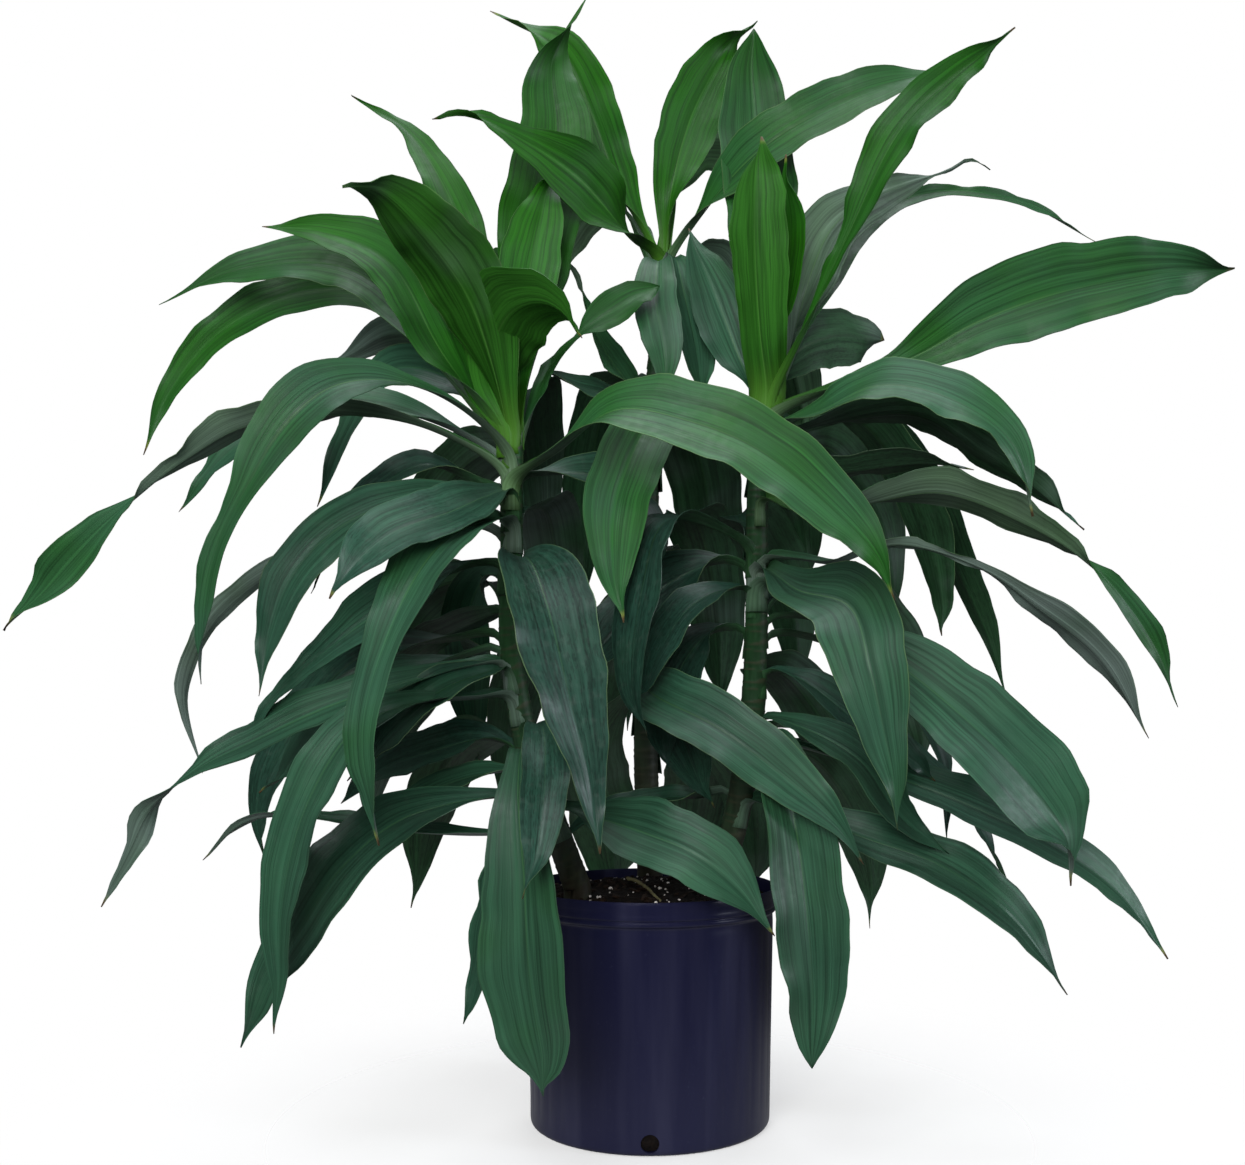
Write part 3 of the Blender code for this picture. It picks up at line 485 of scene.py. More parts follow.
def chip_mesh():
    """Bark chips: flat blocks of eight corners, each corner moved by a draw, lying at a low tilt."""
    x, y, draw = scattered(CHIP_COUNT, CHIP_SEED, SOIL_RADIUS - 6)
    size = np.stack([draw.uniform(2, 6, CHIP_COUNT), draw.uniform(1, 2.6, CHIP_COUNT),
                     draw.uniform(0.5, 1.1, CHIP_COUNT)], axis=1)
    cube = np.array([(i, j, k) for k in (-1, 1) for j in (-1, 1) for i in (-1, 1)], dtype=float)
    shapes = (cube[None] + draw.uniform(-0.35, 0.35, (CHIP_COUNT, 8, 3))) * size[:, None]
    turn, tilt = draw.uniform(0, 2 * math.pi, CHIP_COUNT), draw.normal(0, 0.3, CHIP_COUNT)
    c, s = np.cos(turn)[:, None], np.sin(turn)[:, None]
    shapes[:, :, 2] += shapes[:, :, 0] * np.tan(tilt)[:, None]
    spun = np.stack([shapes[:, :, 0] * c - shapes[:, :, 1] * s,
                     shapes[:, :, 0] * s + shapes[:, :, 1] * c, shapes[:, :, 2]], axis=2)
    places = np.stack([x, y, soil_top(x, y) + 0.5], axis=1)
    points = ((spun + places[:, None]) * MM).reshape(-1, 3)
    quads = np.array([(0, 2, 3, 1), (4, 5, 7, 6), (0, 1, 5, 4), (2, 6, 7, 3), (0, 4, 6, 2),
                      (1, 3, 7, 5)])
    mesh = mesh_of_quads("bark_chips", points, repeated(quads, CHIP_COUNT, 8))
    mesh.polygons.foreach_set("use_smooth", np.zeros(len(mesh.polygons), dtype=bool))
    return mesh


def run_along(path, power=1.0):
    """How far along a path its points lie: the running sum of its steps, each raised to a power."""
    steps = np.linalg.norm(np.diff(path, axis=0), axis=1)
    return np.concatenate([[0.0], np.cumsum(steps ** power)])


def smooth_curve(points, count):
    """count points at equal steps along a centripetal Catmull-Rom curve through the points: each
    span is the usual three-level blend of its four nearest points, with knots a root chord apart."""
    points = np.asarray(points, dtype=float)
    points = np.vstack([2 * points[0] - points[1], points, 2 * points[-1] - points[-2]])
    fine = []
    for i in range(1, len(points) - 2):
        four = points[i - 1:i + 3]
        knots = run_along(four, 0.5)
        t = np.linspace(knots[1], knots[2], SPAN_STEPS, endpoint=False)[:, None]
        a = [four[j] * (knots[j + 1] - t) + four[j + 1] * (t - knots[j]) for j in range(3)]
        a = [a[j] / (knots[j + 1] - knots[j]) for j in range(3)]
        b = [a[j] * (knots[j + 2] - t) + a[j + 1] * (t - knots[j]) for j in range(2)]
        b = [b[j] / (knots[j + 2] - knots[j]) for j in range(2)]
        fine.append((b[0] * (knots[2] - t) + b[1] * (t - knots[1])) / (knots[2] - knots[1]))
    fine = np.vstack(fine + [points[-2:-1]])
    along = run_along(fine)
    steps = np.linspace(0.0, along[-1], count)
    return np.stack([np.interp(steps, along, fine[:, k]) for k in range(3)], axis=1)


def rod(name, path, radii, sides, bump):
    """A closed rod: at each point of the path, a ring square to it whose radius is the given one
    plus bump(row, turn). Both ends close in a point."""
    tangent = unit(np.gradient(path, axis=0))
    side = unit(np.cross(tangent, (0.0, 1.0, 0.0)))
    front = np.cross(tangent, side)
    turn = np.arange(sides) * 2 * math.pi / sides
    radius = radii[:, None] + bump(np.arange(len(path))[:, None], turn[None, :])
    rings = path[:, None] + radius[:, :, None] * (np.cos(turn)[None, :, None] * side[:, None]
                                                  + np.sin(turn)[None, :, None] * front[:, None])
    ends = [path[0] - tangent[0] * radii[0] * 0.2, path[-1] + tangent[-1] * radii[-1] * 0.6]
    points = np.vstack([rings.reshape(-1, 3), ends]) * MM
    return mesh_of_quads(name, points, *tube_faces(len(path), sides))


def twig_bumps(row, turn):
    """Lumps of the twig: two sines of the row and the bearing."""
    return 0.25 * np.sin(row * 0.9 + 2 * turn) + 0.15 * np.sin(row * 2.3 - turn)


def crumbly_finish(name, dark, pale, scale, roughness, bump):
    """Two colours mixed by a noise of the given scale, matt, with the same noise as relief."""
    finish, tree, shader, place = new_finish(name)
    lumps = noise(tree, place, scale, 6.0, 0.65)
    share = spread(tree, lumps, 0.35, 0.68, kind="LINEAR")
    feed(tree, shader, {"Base Color": tinted(tree, share, dark, pale), "Roughness": roughness,
                        "Normal": relief(tree, lumps, bump, 1.2)})
    return finish


add_piece("soil_mix", soil_mesh(),
          [crumbly_finish("soil_peat", SOIL_DARK, SOIL_BROWN, 210.0, 0.95, 0.9)], "soil", "soil")
add_piece("perlite_grains", perlite_mesh(),
          [crumbly_finish("perlite", PERLITE_GREY, PERLITE_WHITE, 420.0, 0.9, 0.6)], "soil")
add_piece("bark_chips", chip_mesh(),
          [crumbly_finish("bark", CHIP_DARK, CHIP_BROWN, 330.0, 0.9, 0.7)], "soil")
add_piece("dry_twig", rod("dry_twig", smooth_curve(TWIG, TWIG_ROWS),
                          np.linspace(1.9, 1.0, TWIG_ROWS), TWIG_SIDES, twig_bumps),
          [crumbly_finish("twig_bark", TWIG_BROWN, TWIG_OLIVE, 160.0, 0.85, 0.6)], "soil")

# Left cane: a green, ringed stem that leans out of the soil, and its leaves, which clasp it in a
# spiral. The stem is one grown rod. Each leaf scar is a ridge round it with a corky brown line.
CANE_FOOT_RADIUS, CANE_TOP_RADIUS = 13.5, 9.5
CANE_SIDES, CANE_ROW_STEP, SUNK_ROWS = 36, 1.6, 8
CANE_TOP_ROUNDING = 22.0
SCAR_STEP, SCAR_SLANT, SCAR_RISE = 9.5, 2.2, 0.9
STEM_GREEN, STEM_OLD = (0.013, 0.052, 0.016, 1.0), (0.012, 0.032, 0.015, 1.0)
STEM_BROWN, SCAR_BROWN = (0.028, 0.024, 0.017, 1.0), (0.030, 0.034, 0.019, 1.0)
STEM_FIBRES = (160, 160, 28)
LEFT_AXIS = ((-70, -48, 140), (-70, -48, 238), (-92, -54, 300), (-116, -60, 370),
             (-133, -61, 468), (-133, -60, 543), (-132, -60, 645), (-131, -58, 684))


def leaf(foot, wide, seen, age_and_shade, *points, twist=(0, 0), wave=1.8, outline="usual"):
    """A leaf's facts: the height of its foot on the cane, its full width, the width that shows
    from the eye (minus where the underside shows), its age and shade (0 young and bright, 1 old
    and dark; leaves deep in the plant and at the back are given higher values, so part of their
    darkness is painted shade), and its midrib's points on an elevation through the pot's axis:
    across, up, and depth behind it. A leaf may have a twist, in degrees and its place along the
    blade, and a waviness of the edge and an outline of its own. Millimetres."""
    return SimpleNamespace(foot=foot, wide=wide, seen=seen, age_and_shade=age_and_shade, points=points, twist=twist,
                           wave=wave, outline=outline)


# Leaves of the left cane. The last eight stand at the back, where the photograph can't show them:
# they are invented, with the size and droop of the others.
LEFT_LEAVES = (
    leaf(640, 84, 82, 0.15, (-115, 869, 10), (-95, 985, 42), (-97, 1062, 58), (-62, 1112, 62),
         twist=(150, 0.9), wave=2.5, outline="young"),
    leaf(662, 60, 58, 0.08, (-128, 800, -50), (-98, 955, 12), outline="young"),
    leaf(655, 80, -75, 0.15, (-180, 819, -125), (-230, 889, -175), (-275, 929, -205), (-306, 920, -230),
         wave=3.0, outline="young"),
    leaf(650, 84, -82, 0.08, (-160, 745, -70), (-142, 804, -125), (-106, 817, -165), (-62, 789, -190),
         wave=2.0, outline="young"),
    leaf(640, 66, 58, 0.2, (-210, 769, -80), (-262, 858, -95), (-330, 887, -105), (-388, 891, -110)),
    leaf(632, 58, 48, 0.32, (-215, 775, -50), (-300, 850, -50), (-410, 849, -45), (-487, 817, -40)),
    leaf(628, 46, 38, 0.25, (-205, 745, -20), (-268, 822, 0), (-350, 825, 5), (-430, 787, 0),
         (-485, 719, -5), (-509, 658, -10)),
    leaf(648, 46, 40, 0.02, (-170, 819, 10), (-200, 919, 45), (-245, 989, 75), (-292, 1020, 95),
         twist=(30, 0.7), wave=3.5),
    leaf(610, 48, -34, 0.44, (-220, 690, -100), (-300, 705, -115), (-405, 694, -130), (-460, 664, -135),
         (-513, 624, -135), (-580, 559, -130), (-642, 476, -120), twist=(-115, 0.7), wave=3.0,
         outline="lobed"),
    leaf(620, 48, 30, 0.6, (-225, 700, -50), (-320, 712, -50), (-410, 674, -55), (-477, 604, -60)),
    leaf(625, 58, 57, 0.5, (-180, 704, -115), (-240, 735, -155), (-310, 735, -185), (-360, 700, -205),
         (-402, 635, -215), (-434, 570, -215), (-446, 505, -215), (-440, 436, -215), outline="hooked"),
    leaf(630, 50, 33, 0.7, (-190, 735, -4), (-260, 749, 31), (-302, 689, 52), (-330, 621, 62)),
    leaf(636, 50, -24, 0.75, (-175, 730, 20), (-220, 777, 60), (-262, 785, 90), (-325, 745, 120)),
    leaf(640, 40, 34, 0.35, (-99, 752, -24), (-70, 786, -30), (-32, 812, -29), (6, 834, -11), wave=5.0,
         outline="spoon"),
    leaf(600, 76, 68, 0.38, (-90, 669, -125), (-34, 709, -165), (40, 698, -190), (110, 669, -205),
         (180, 612, -215), (230, 559, -220), (248, 517, -220)),
    leaf(605, 48, 30, 0.85, (-95, 645, -40), (-50, 642, -20), (-5, 600, 0), (15, 540, 5)),
    leaf(590, 60, 42, 0.9, (-165, 622, -120), (-200, 607, -165), (-260, 585, -205), (-300, 549, -230),
         (-315, 514, -240)),
    leaf(580, 54, 46, 0.8, (-170, 628, -85), (-230, 624, -120), (-310, 592, -150), (-360, 539, -170),
         (-394, 429, -180), wave=2.5),
    leaf(590, 48, 27, 0.95, (-175, 636, -45), (-227, 654, -55), (-290, 612, -70), (-345, 520, -80)),
    leaf(560, 66, 60, 0.6, (-165, 598, -130), (-210, 574, -185), (-247, 519, -215), (-283, 419, -228),
         (-287, 359, -228), (-266, 280, -225), outline="dagger"),
    leaf(548, 24, -21, 0.62, (-200, 595, -20), (-290, 585, -10), (-400, 534, -20), (-445, 489, -30),
         (-467, 429, -30), (-454, 352, -30)),
    leaf(520, 62, 50, 0.85, (-180, 552, -75), (-270, 507, -115), (-340, 454, -135), (-413, 384, -145),
         outline="tailed"),
    leaf(426, 52, 36, 0.7, (-185, 452, -95), (-240, 438, -115), (-319, 413, -140), (-400, 376, -155),
         (-450, 351, -155), (-500, 311, -155), (-520, 269, -155), (-547, 205, -150), twist=(160, 0.78),
         wave=2.5, outline="waisted"),
    leaf(452, 52, 40, 0.95, (-200, 478, -20), (-290, 462, 0), (-350, 399, 10), (-385, 329, 15),
         (-394, 248, 15)),
    leaf(440, 50, 35, 0.8, (-200, 458, -55), (-300, 424, -70), (-350, 364, -75), (-388, 313, -80)),
    leaf(394, 60, 46, 0.75, (-180, 420, -110), (-250, 412, -160), (-300, 385, -190), (-340, 322, -210),
         (-360, 262, -215), (-370, 189, -218), (-365, 87, -215)),
    leaf(300, 66, 58, 0.8, (-150, 322, -90), (-200, 315, -110), (-255, 296, -135), (-310, 249, -155),
         (-350, 189, -165), (-385, 129, -170), (-405, 66, -170)),
    leaf(272, 34, 12, 0.6, (-150, 285, -60), (-239, 288, -70), (-310, 298, -80), (-367, 304, -90),
         (-405, 297, -90), (-450, 264, -90), twist=(60, 0.8)),
    leaf(345, 56, 34, 0.95, (-165, 380, -35), (-210, 370, -25), (-268, 350, -5), (-310, 318, 5)),
    leaf(322, 42, 20, 0.7, (-165, 345, -40), (-215, 330, -20), (-290, 292, 0)),
    leaf(424, 56, 36, 0.85, (-165, 446, -95), (-210, 428, -125), (-272, 371, -135), (-292, 330, -135)),
    leaf(474, 50, -30, 0.85, (-170, 500, 10), (-225, 472, 50), (-300, 412, 70), (-330, 360, 75)),
    leaf(500, 56, 45, 0.7, (-160, 545, 0), (-180, 510, 50), (-178, 430, 75), (-172, 354, 80)),
    leaf(520, 82, 80, 0.98, (-122, 560, -125), (-105, 520, -175), (-80, 419, -215), (-58, 319, -232),
         (-57, 261, -236), wave=2.0, outline="early"),
    leaf(332, 82, 81, 0.62, (-128, 370, -120), (-132, 326, -170), (-126, 239, -205), (-120, 139, -218),
         (-97, 11, -218), twist=(-60, 0.92), wave=1.5, outline="full"),
    leaf(360, 42, 40, 1.0, (-108, 392, -140), (-105, 340, -205), (-112, 270, -240), (-121, 217, -252)),
    leaf(296, 48, 24, 0.8, (-120, 300, -100), (-150, 245, -150), (-166, 163, -168), (-184, 91, -170)),
    leaf(288, 68, 62, 0.7, (-50, 300, -85), (0, 284, -118), (50, 262, -142), (90, 228, -152),
         (120, 189, -156)),
    leaf(660, 70, 52, 0.35, (-140, 800, 60), (-165, 840, 160), (-170, 800, 250), (-165, 700, 290)),
    leaf(600, 70, -56, 0.85, (-150, 670, 60), (-190, 650, 160), (-240, 580, 250), (-250, 480, 285)),
    leaf(560, 70, -56, 0.75, (-120, 610, 60), (-100, 600, 170), (-90, 500, 260), (-95, 400, 290)),
    leaf(480, 66, -56, 0.85, (-175, 540, 60), (-230, 520, 150), (-275, 440, 230), (-295, 340, 270)),
    leaf(410, 66, -56, 0.8, (-160, 460, 36), (-220, 450, 121), (-270, 370, 196), (-290, 280, 232)),
    leaf(330, 62, -56, 0.9, (-140, 380, 4), (-190, 370, 77), (-225, 300, 136), (-235, 210, 149)),
    leaf(618, 70, -56, 0.85, (-130, 720, 70), (-120, 720, 170), (-110, 640, 260), (-105, 540, 300)),
    leaf(440, 66, -56, 0.85, (-120, 490, 50), (-120, 480, 150), (-140, 390, 230), (-145, 290, 255)),
)

# A leaf: a tough strap that clasps the cane, narrows to a channelled stalk and widens to a blade
# with a sunken midrib, lengthwise pleats, a wavy edge and a drawn-out tip.
SHEATH_RISE = 26.0
ROW_STEP, COLUMN_STEP = 8.0, 2.9
ROLL_START, ROLL_DONE = 0.12, 0.42
TWIST_REACH = 0.1
MIDDLE = 0.56
TAIL_START, TAIL_TURN, TAIL_SWAY = 0.84, 75.0, 5.0
LENGTH_POINTS = 40
FIRST_SEED, LEAF_DRAW_STEP = 1000, 0.61803
# Half-width of the blade along it, in per cent of the length and of half the full width. Every
# blade ends in the same thin tip, and many have the same stalk.
BLADE_TIP = (100, 1.2)
STALK = ((0, 30), (10, 26))
OUTLINES = {
    "usual": ((0, 30), (6, 27), (13, 25), (20, 36), (33, 74), (46, 96), (58, 100), (70, 93), (80, 73),
              (87, 47), (92.5, 22), (96.5, 7.5)),
    "full": ((0, 30), (10, 25), (22, 27), (34, 50), (48, 82), (62, 98), (74, 100), (84, 86), (91, 55),
             (95.5, 22), (98, 7)),
    "early": (*STALK, (20, 50), (32, 90), (42, 100), (55, 95), (68, 76), (80, 50), (90, 24), (96, 8)),
    "young": ((0, 20), (10, 24), (20, 40), (30, 64), (42, 90), (56, 100), (74, 82), (88, 42), (95, 14)),
    "blunt": ((0, 22), (10, 26), (20, 42), (30, 62), (45, 86), (60, 100), (75, 97), (88, 72), (95, 38),
              (98.5, 12)),
    "sheathed": ((0, 55), (10, 60), (25, 74), (45, 92), (60, 100), (75, 95), (88, 66), (95, 34),
                 (98.5, 10)),
    "late": (*STALK, (50, 24), (60, 60), (71, 100), (82, 88), (91, 50), (96, 16)),
    "spoon": (*STALK, (60, 24), (68, 66), (77, 100), (88, 92), (95, 50), (98.5, 15)),
    "dagger": (*STALK, (20, 45), (30, 85), (39, 100), (50, 86), (60, 62), (74, 52), (85, 48), (93, 28),
               (97, 10)),
    "hooked": (*STALK, (28, 26), (40, 75), (50, 100), (60, 80), (70, 42), (76, 35), (86, 34), (93, 20),
               (97, 8)),
    "lobed": (*STALK, (20, 40), (34, 85), (46, 100), (56, 85), (65, 40), (71, 20), (78, 62), (85, 84),
              (92, 60), (97, 20)),
    "stalked": (*STALK, (34, 24), (44, 46), (56, 88), (67, 100), (78, 87), (88, 52), (94, 20), (97.5, 6)),
    "tailed": (*STALK, (18, 36), (30, 80), (42, 100), (55, 88), (66, 58), (76, 34), (88, 22), (96, 8)),
    "threaded": ((0, 30), (10, 30), (20, 50), (32, 88), (44, 100), (56, 85), (68, 60), (78, 28), (83, 6),
                 (90, 4.5)),
    "paddle": (*STALK, (30, 24), (40, 56), (50, 86), (62, 100), (75, 94), (86, 68), (94, 30), (98, 9)),
    "waisted": ((0, 30), (12, 26), (22, 45), (36, 90), (48, 100), (60, 80), (68, 40), (72, 26), (78, 42),
                (85, 46), (92, 30), (97, 10)),
}
LEAST_NECK, NECK_END = 7.0, 0.4
# Unevenness of each edge: waves over the whole length, and their share of the half-width
EDGE_STEPS = ((3.1, 0.030), (6.7, 0.022), (11.3, 0.012))
# Bend of the section from the midrib to the edge, in radians
BEND = ((0.0, 1.75), (0.07, 1.55), (0.14, 1.05), (0.24, 0.62), (0.4, 0.34), (0.6, 0.20),
        (0.85, 0.22), (1.0, 0.5))
# Slope of the two halves at the midrib, which fades towards the edges and gives the V
FOLD = ((0.0, 0.0), (0.15, 0.2), (0.35, 0.34), (0.6, 0.30), (0.9, 0.4), (1.0, 0.5))
GROOVE_WIDTH, GROOVE_DEPTH = 1.6, 0.9
PLEAT_WIDTH, PLEAT_RISE = 7.4, 0.3
EDGE_WAVE_LENGTH = 74.0
BLADE_EDGE, BLADE_MIDRIB, BLADE_FOOT = 0.55, 1.5, 2.4


def from_elevation(across, up, depth):
    """A point of the elevation slid along its sight line from the eye to its depth: the distance
    from the eye's line grows in step with the distance from the eye. Millimetres."""
    back, height = -EYE[1] / MM, EYE[2] / MM
    reach = (back + depth) / back
    return np.array([across * reach, depth, height + (up - height) * reach])


def cane_point(axis, height):
    """The point of a cane's axis at a height."""
    line = smooth_curve(axis, 200)
    return np.array([np.interp(height, line[:, 2], line[:, k]) for k in range(3)])


def cane_radius(axis, height):
    """The cane tapers evenly from the soil to its top."""
    share = np.clip((height - axis[1][2]) / (axis[-1][2] - axis[1][2]), 0, 1)
    return CANE_FOOT_RADIUS + (CANE_TOP_RADIUS - CANE_FOOT_RADIUS) * share


def leaf_midrib(axis, facts, count):
    """From the side of the cane, up beside it as a sheath, then through the drawn points."""
    drawn = [from_elevation(*point) for point in facts.points]
    top = facts.foot + SHEATH_RISE
    root, above = cane_point(axis, facts.foot), cane_point(axis, top)
    away = unit((drawn[0] - root) * (1, 1, 0) + (drawn[1] - root) * (1, 1, 0))
    low = root + away * (cane_radius(axis, facts.foot) + 0.5)
    high = above + away * (cane_radius(axis, top) + 1.6)
    return smooth_curve([low, high, *drawn], count)


def between(table, share):
    """Smooth values between a table's rows: each span is the cubic that has the harmonic mean of
    the neighbouring slopes at its ends, and is level at a peak or a dip."""
    x, y = np.array(table).T
    slope = np.diff(y) / np.diff(x)
    same = slope[:-1] * slope[1:] > 0
    mean = 2 * slope[:-1] * slope[1:] / np.where(same, slope[:-1] + slope[1:], 1.0)
    lean = np.concatenate([slope[:1], np.where(same, mean, 0.0), slope[-1:]])
    i = np.clip(np.searchsorted(x, share, side="right") - 1, 0, len(x) - 2)
    w = x[i + 1] - x[i]
    t = (share - x[i]) / w
    return (y[i] * (1 + 2 * t) * (1 - t) ** 2 + lean[i] * w * t * (1 - t) ** 2
            + y[i + 1] * t * t * (3 - 2 * t) + lean[i + 1] * w * t * t * (t - 1))


def eased(start, done, share):
    """0 before start, 1 after done, and a smooth step between them."""
    t = np.clip((share - start) / (done - start), 0.0, 1.0)
    return t * t * (3.0 - 2.0 * t)


def leaf_frames(midrib, facts, tail_turn):
    """The directions across the blade and out of its upper face. They start square to the cane,
    with the upper face towards it, and are carried along the midrib without turning about it: the
    turn is minus the running sum of how far the level direction swings towards the face. Then
    they are rolled until the middle shows its drawn width, and twisted at the twist's place and
    in the tail."""
    tangent = unit(np.gradient(midrib, axis=0))
    level = np.cross((midrib[-1] - midrib[0]) * (1, 1, 0), (0.0, 0.0, 1.0))
    level = unit(level - tangent * np.sum(level * tangent, axis=1, keepdims=True))
    face = np.cross(level, tangent)
    swing = np.sum(np.diff(level, axis=0) * (face[1:] + face[:-1]) / 2, axis=1)
    turn = -np.concatenate([[0.0], np.cumsum(swing)])
    share = np.linspace(0.0, 1.0, len(midrib))
    middle = int(round(MIDDLE * (len(midrib) - 1)))
    eye_mm = np.array(EYE) / MM
    sight = unit(eye_mm - midrib[middle])
    c, s = math.cos(turn[middle]), math.sin(turn[middle])
    facing = np.dot(face[middle] * c - level[middle] * s, sight)
    sideways = np.dot(level[middle] * c + face[middle] * s, sight)
    wanted = np.clip(facts.seen * (1 - midrib[middle][1] / eye_mm[1]) / facts.wide, -1.0, 1.0)
    spare = math.acos(np.clip(wanted / math.hypot(facing, sideways), -1.0, 1.0))
    straight = math.atan2(sideways, facing)
    rolls = [(straight + way * spare + math.pi) % (2 * math.pi) - math.pi for way in (-1, 1)]
    roll = min(rolls, key=abs) * eased(ROLL_START, ROLL_DONE, share)
    degrees, at = facts.twist
    roll = roll + math.radians(degrees) * eased(at - TWIST_REACH, at + TWIST_REACH, share) - turn
    roll = (roll + math.radians(tail_turn) * eased(TAIL_START, 1.0, share))[:, None]
    return level * np.cos(roll) - face * np.sin(roll), face * np.cos(roll) + level * np.sin(roll)


def half_width(facts, u, s, draw):
    """Half the blade's width: the outline's share at u, slid along the leaf a little, and made
    uneven by slow sines that differ between the two edges."""
    lean, shift = draw.uniform(-0.05, 0.05), draw.uniform(-0.03, 0.03)
    outline = np.array((*OUTLINES[facts.outline], BLADE_TIP)) / 100
    half = 0.5 * facts.wide * between(outline, np.clip(u + shift * np.sin(math.pi * u), 0, 1))
    half = np.where(u < NECK_END, np.maximum(half, LEAST_NECK), half)
    half = half * (1 + lean * np.sign(s) * np.sin(math.pi * u))
    for count, size in EDGE_STEPS:
        starts = draw.uniform(0, 2 * math.pi, 2)
        step = np.sin(2 * math.pi * count * u + np.where(s > 0, starts[0], starts[1]))
        half = half * (1 + size * step * eased(0.25, 0.4, u))
    return half


def section(facts, length, half, u, s, draw):
    """Across the blade, x, and out of its upper face, y: an arc of the bend at u, plus a fold that
    is steep at the midrib and levels out, less a groove, plus pleats (a cosine of the distance
    from the midrib whose phase drifts along the leaf) and a wave of the edge that grows with the
    square of s."""
    bend = between(BEND, u)
    arc = half * bend / np.sin(np.minimum(bend, math.pi / 2))
    x = arc * np.sin(bend * s) / bend
    y = arc * (1 - np.cos(bend * s)) / bend
    full = np.sin(math.pi * np.clip((u - 0.1) / 0.9, 0, 1)) ** 0.7
    y = y + half * between(FOLD, u) * (np.sqrt(s * s + 0.004) - 0.063 - 0.5 * s * s)
    y = y - GROOVE_DEPTH * np.exp(-(s * half / GROOVE_WIDTH) ** 2) * full
    drift = draw.uniform(0, 2 * math.pi, 4)
    reach = np.abs(s) * 0.5 * facts.wide / PLEAT_WIDTH * 2 * math.pi
    pleats = np.cos(reach + drift[0] + 0.9 * np.sin(3 * u + drift[1])) + 0.6 * np.cos(
        1.63 * reach + drift[2] + np.sign(s) * 0.7 + 1.1 * np.sin(4 * u + drift[3]))
    y = y + PLEAT_RISE * pleats * full * (1 - 0.5 * np.abs(s))
    waves = length / EDGE_WAVE_LENGTH * 2 * math.pi
    ripple = np.sin(waves * u + draw.uniform(0, 6) + np.where(s > 0, draw.uniform(1, 5), 0.0)
                    + 1.4 * np.sin(5 * u + draw.uniform(0, 6)))
    crimp = np.sin(2.4 * waves * u + draw.uniform(0, 6) + np.where(s > 0, 2.0, 0.0))
    swell = 0.75 + 0.5 * np.sin(7 * u + draw.uniform(0, 6) + np.where(s > 0, 2.5, 0.0))
    return x, y + facts.wave * (1.2 * ripple + 0.35 * crimp) * swell * s * s * eased(
        0.22, 0.45, u) * (1 - 0.6 * eased(0.85, 1.0, u))


def blade(axis, facts, number):
    """One closed leaf. Across it, s runs from -1 at one edge over 0 at the midrib to 1, and along
    it u runs from 0 to 1. The section stands on the midrib at each u, and the two faces stand half
    the thickness to each side of that surface. The tail is pushed aside and turned by draws."""
    draw = np.random.default_rng(FIRST_SEED + number)
    chords = np.diff(leaf_midrib(axis, facts, LENGTH_POINTS), axis=0)
    length = np.linalg.norm(chords, axis=1).sum()
    rows, half_columns = int(length / ROW_STEP), int(round(facts.wide / (2 * COLUMN_STEP)))
    u = np.linspace(0.0, 1.0, rows)[:, None]
    midrib = leaf_midrib(axis, facts, rows)
    midrib = midrib + TAIL_SWAY * draw.normal(size=3) * eased(TAIL_START, 1.0, u) ** 2
    across, face = leaf_frames(midrib, facts, draw.uniform(-1, 1) * TAIL_TURN)
    steps = np.linspace(0.0, 1.0, half_columns)
    steps = np.concatenate([steps[:-1] * 0.985 / steps[-2], [1.0]])
    s = np.concatenate([-steps[:0:-1], steps])[None, :]
    half = half_width(facts, u, s, draw)
    x, y = section(facts, length, half, u, s, draw)
    surface = midrib[:, None] + across[:, None] * x[:, :, None] + face[:, None] * y[:, :, None]
    normal = unit(np.cross(np.gradient(surface, axis=1), np.gradient(surface, axis=0)))
    thick = BLADE_EDGE + (BLADE_MIDRIB - BLADE_EDGE) * np.exp(-(s / 0.13) ** 2)
    thick = thick + (BLADE_FOOT - thick) * (1 - eased(0.0, 0.2, u)) * (1 - np.abs(s)) ** 0.5
    thick = thick * (1 - 0.5 * eased(0.9, 1.0, u))
    lift = normal * (0.5 * thick * np.ones_like(x))[:, :, None]
    points = np.concatenate([(surface + lift).reshape(-1, 3), (surface - lift).reshape(-1, 3)])
    share = np.stack([np.broadcast_to(0.5 + 0.5 * s, x.shape), np.broadcast_to(u, x.shape)], axis=2)
    edge = np.full(x.shape, -1)
    edge[:, 0], edge[:, -1] = 4 * number, 4 * number + 1
    tags = np.concatenate([edge.ravel(), np.where(edge.ravel() < 0, -1, edge.ravel() + 2)])
    return points, *leaf_faces(rows, s.shape[1]), np.tile(share.reshape(-1, 2), (2, 1)), tags


def leaf_faces(rows, columns):
    """Corners of the faces, with 1 for those of the underside: the upper grid, the lower grid the
    other way round, and strips that close the two edges, the foot and the tip."""
    low = rows * columns
    a = (np.arange(rows - 1)[:, None] * columns + np.arange(columns - 1)).ravel()
    upper = np.stack([a, a + 1, a + columns + 1, a + columns], axis=1)
    lower = np.stack([a, a + columns, a + columns + 1, a + 1], axis=1) + low
    b = np.arange(rows - 1) * columns
    left = np.stack([b, b + columns, b + columns + low, b + low], axis=1)
    b = b + columns - 1
    right = np.stack([b, b + low, b + columns + low, b + columns], axis=1)
    c = np.arange(columns - 1)
    foot = np.stack([c, c + low, c + low + 1, c + 1], axis=1)
    c = c + (rows - 1) * columns
    tip = np.stack([c, c + 1, c + low + 1, c + low], axis=1)
    under = np.repeat([0, 1, 0], [len(upper), len(lower), 2 * (len(left) + len(foot))])
    return np.vstack([upper, lower, left, right, foot, tip]), under.astype(np.int32)


def mark(mesh, name, values, kind="FLOAT", domain="POINT"):
    """A named value for each point of a mesh, which its finish reads, or for each edge."""
    mesh.attributes.new(name, kind, domain).data.foreach_set("value", values)


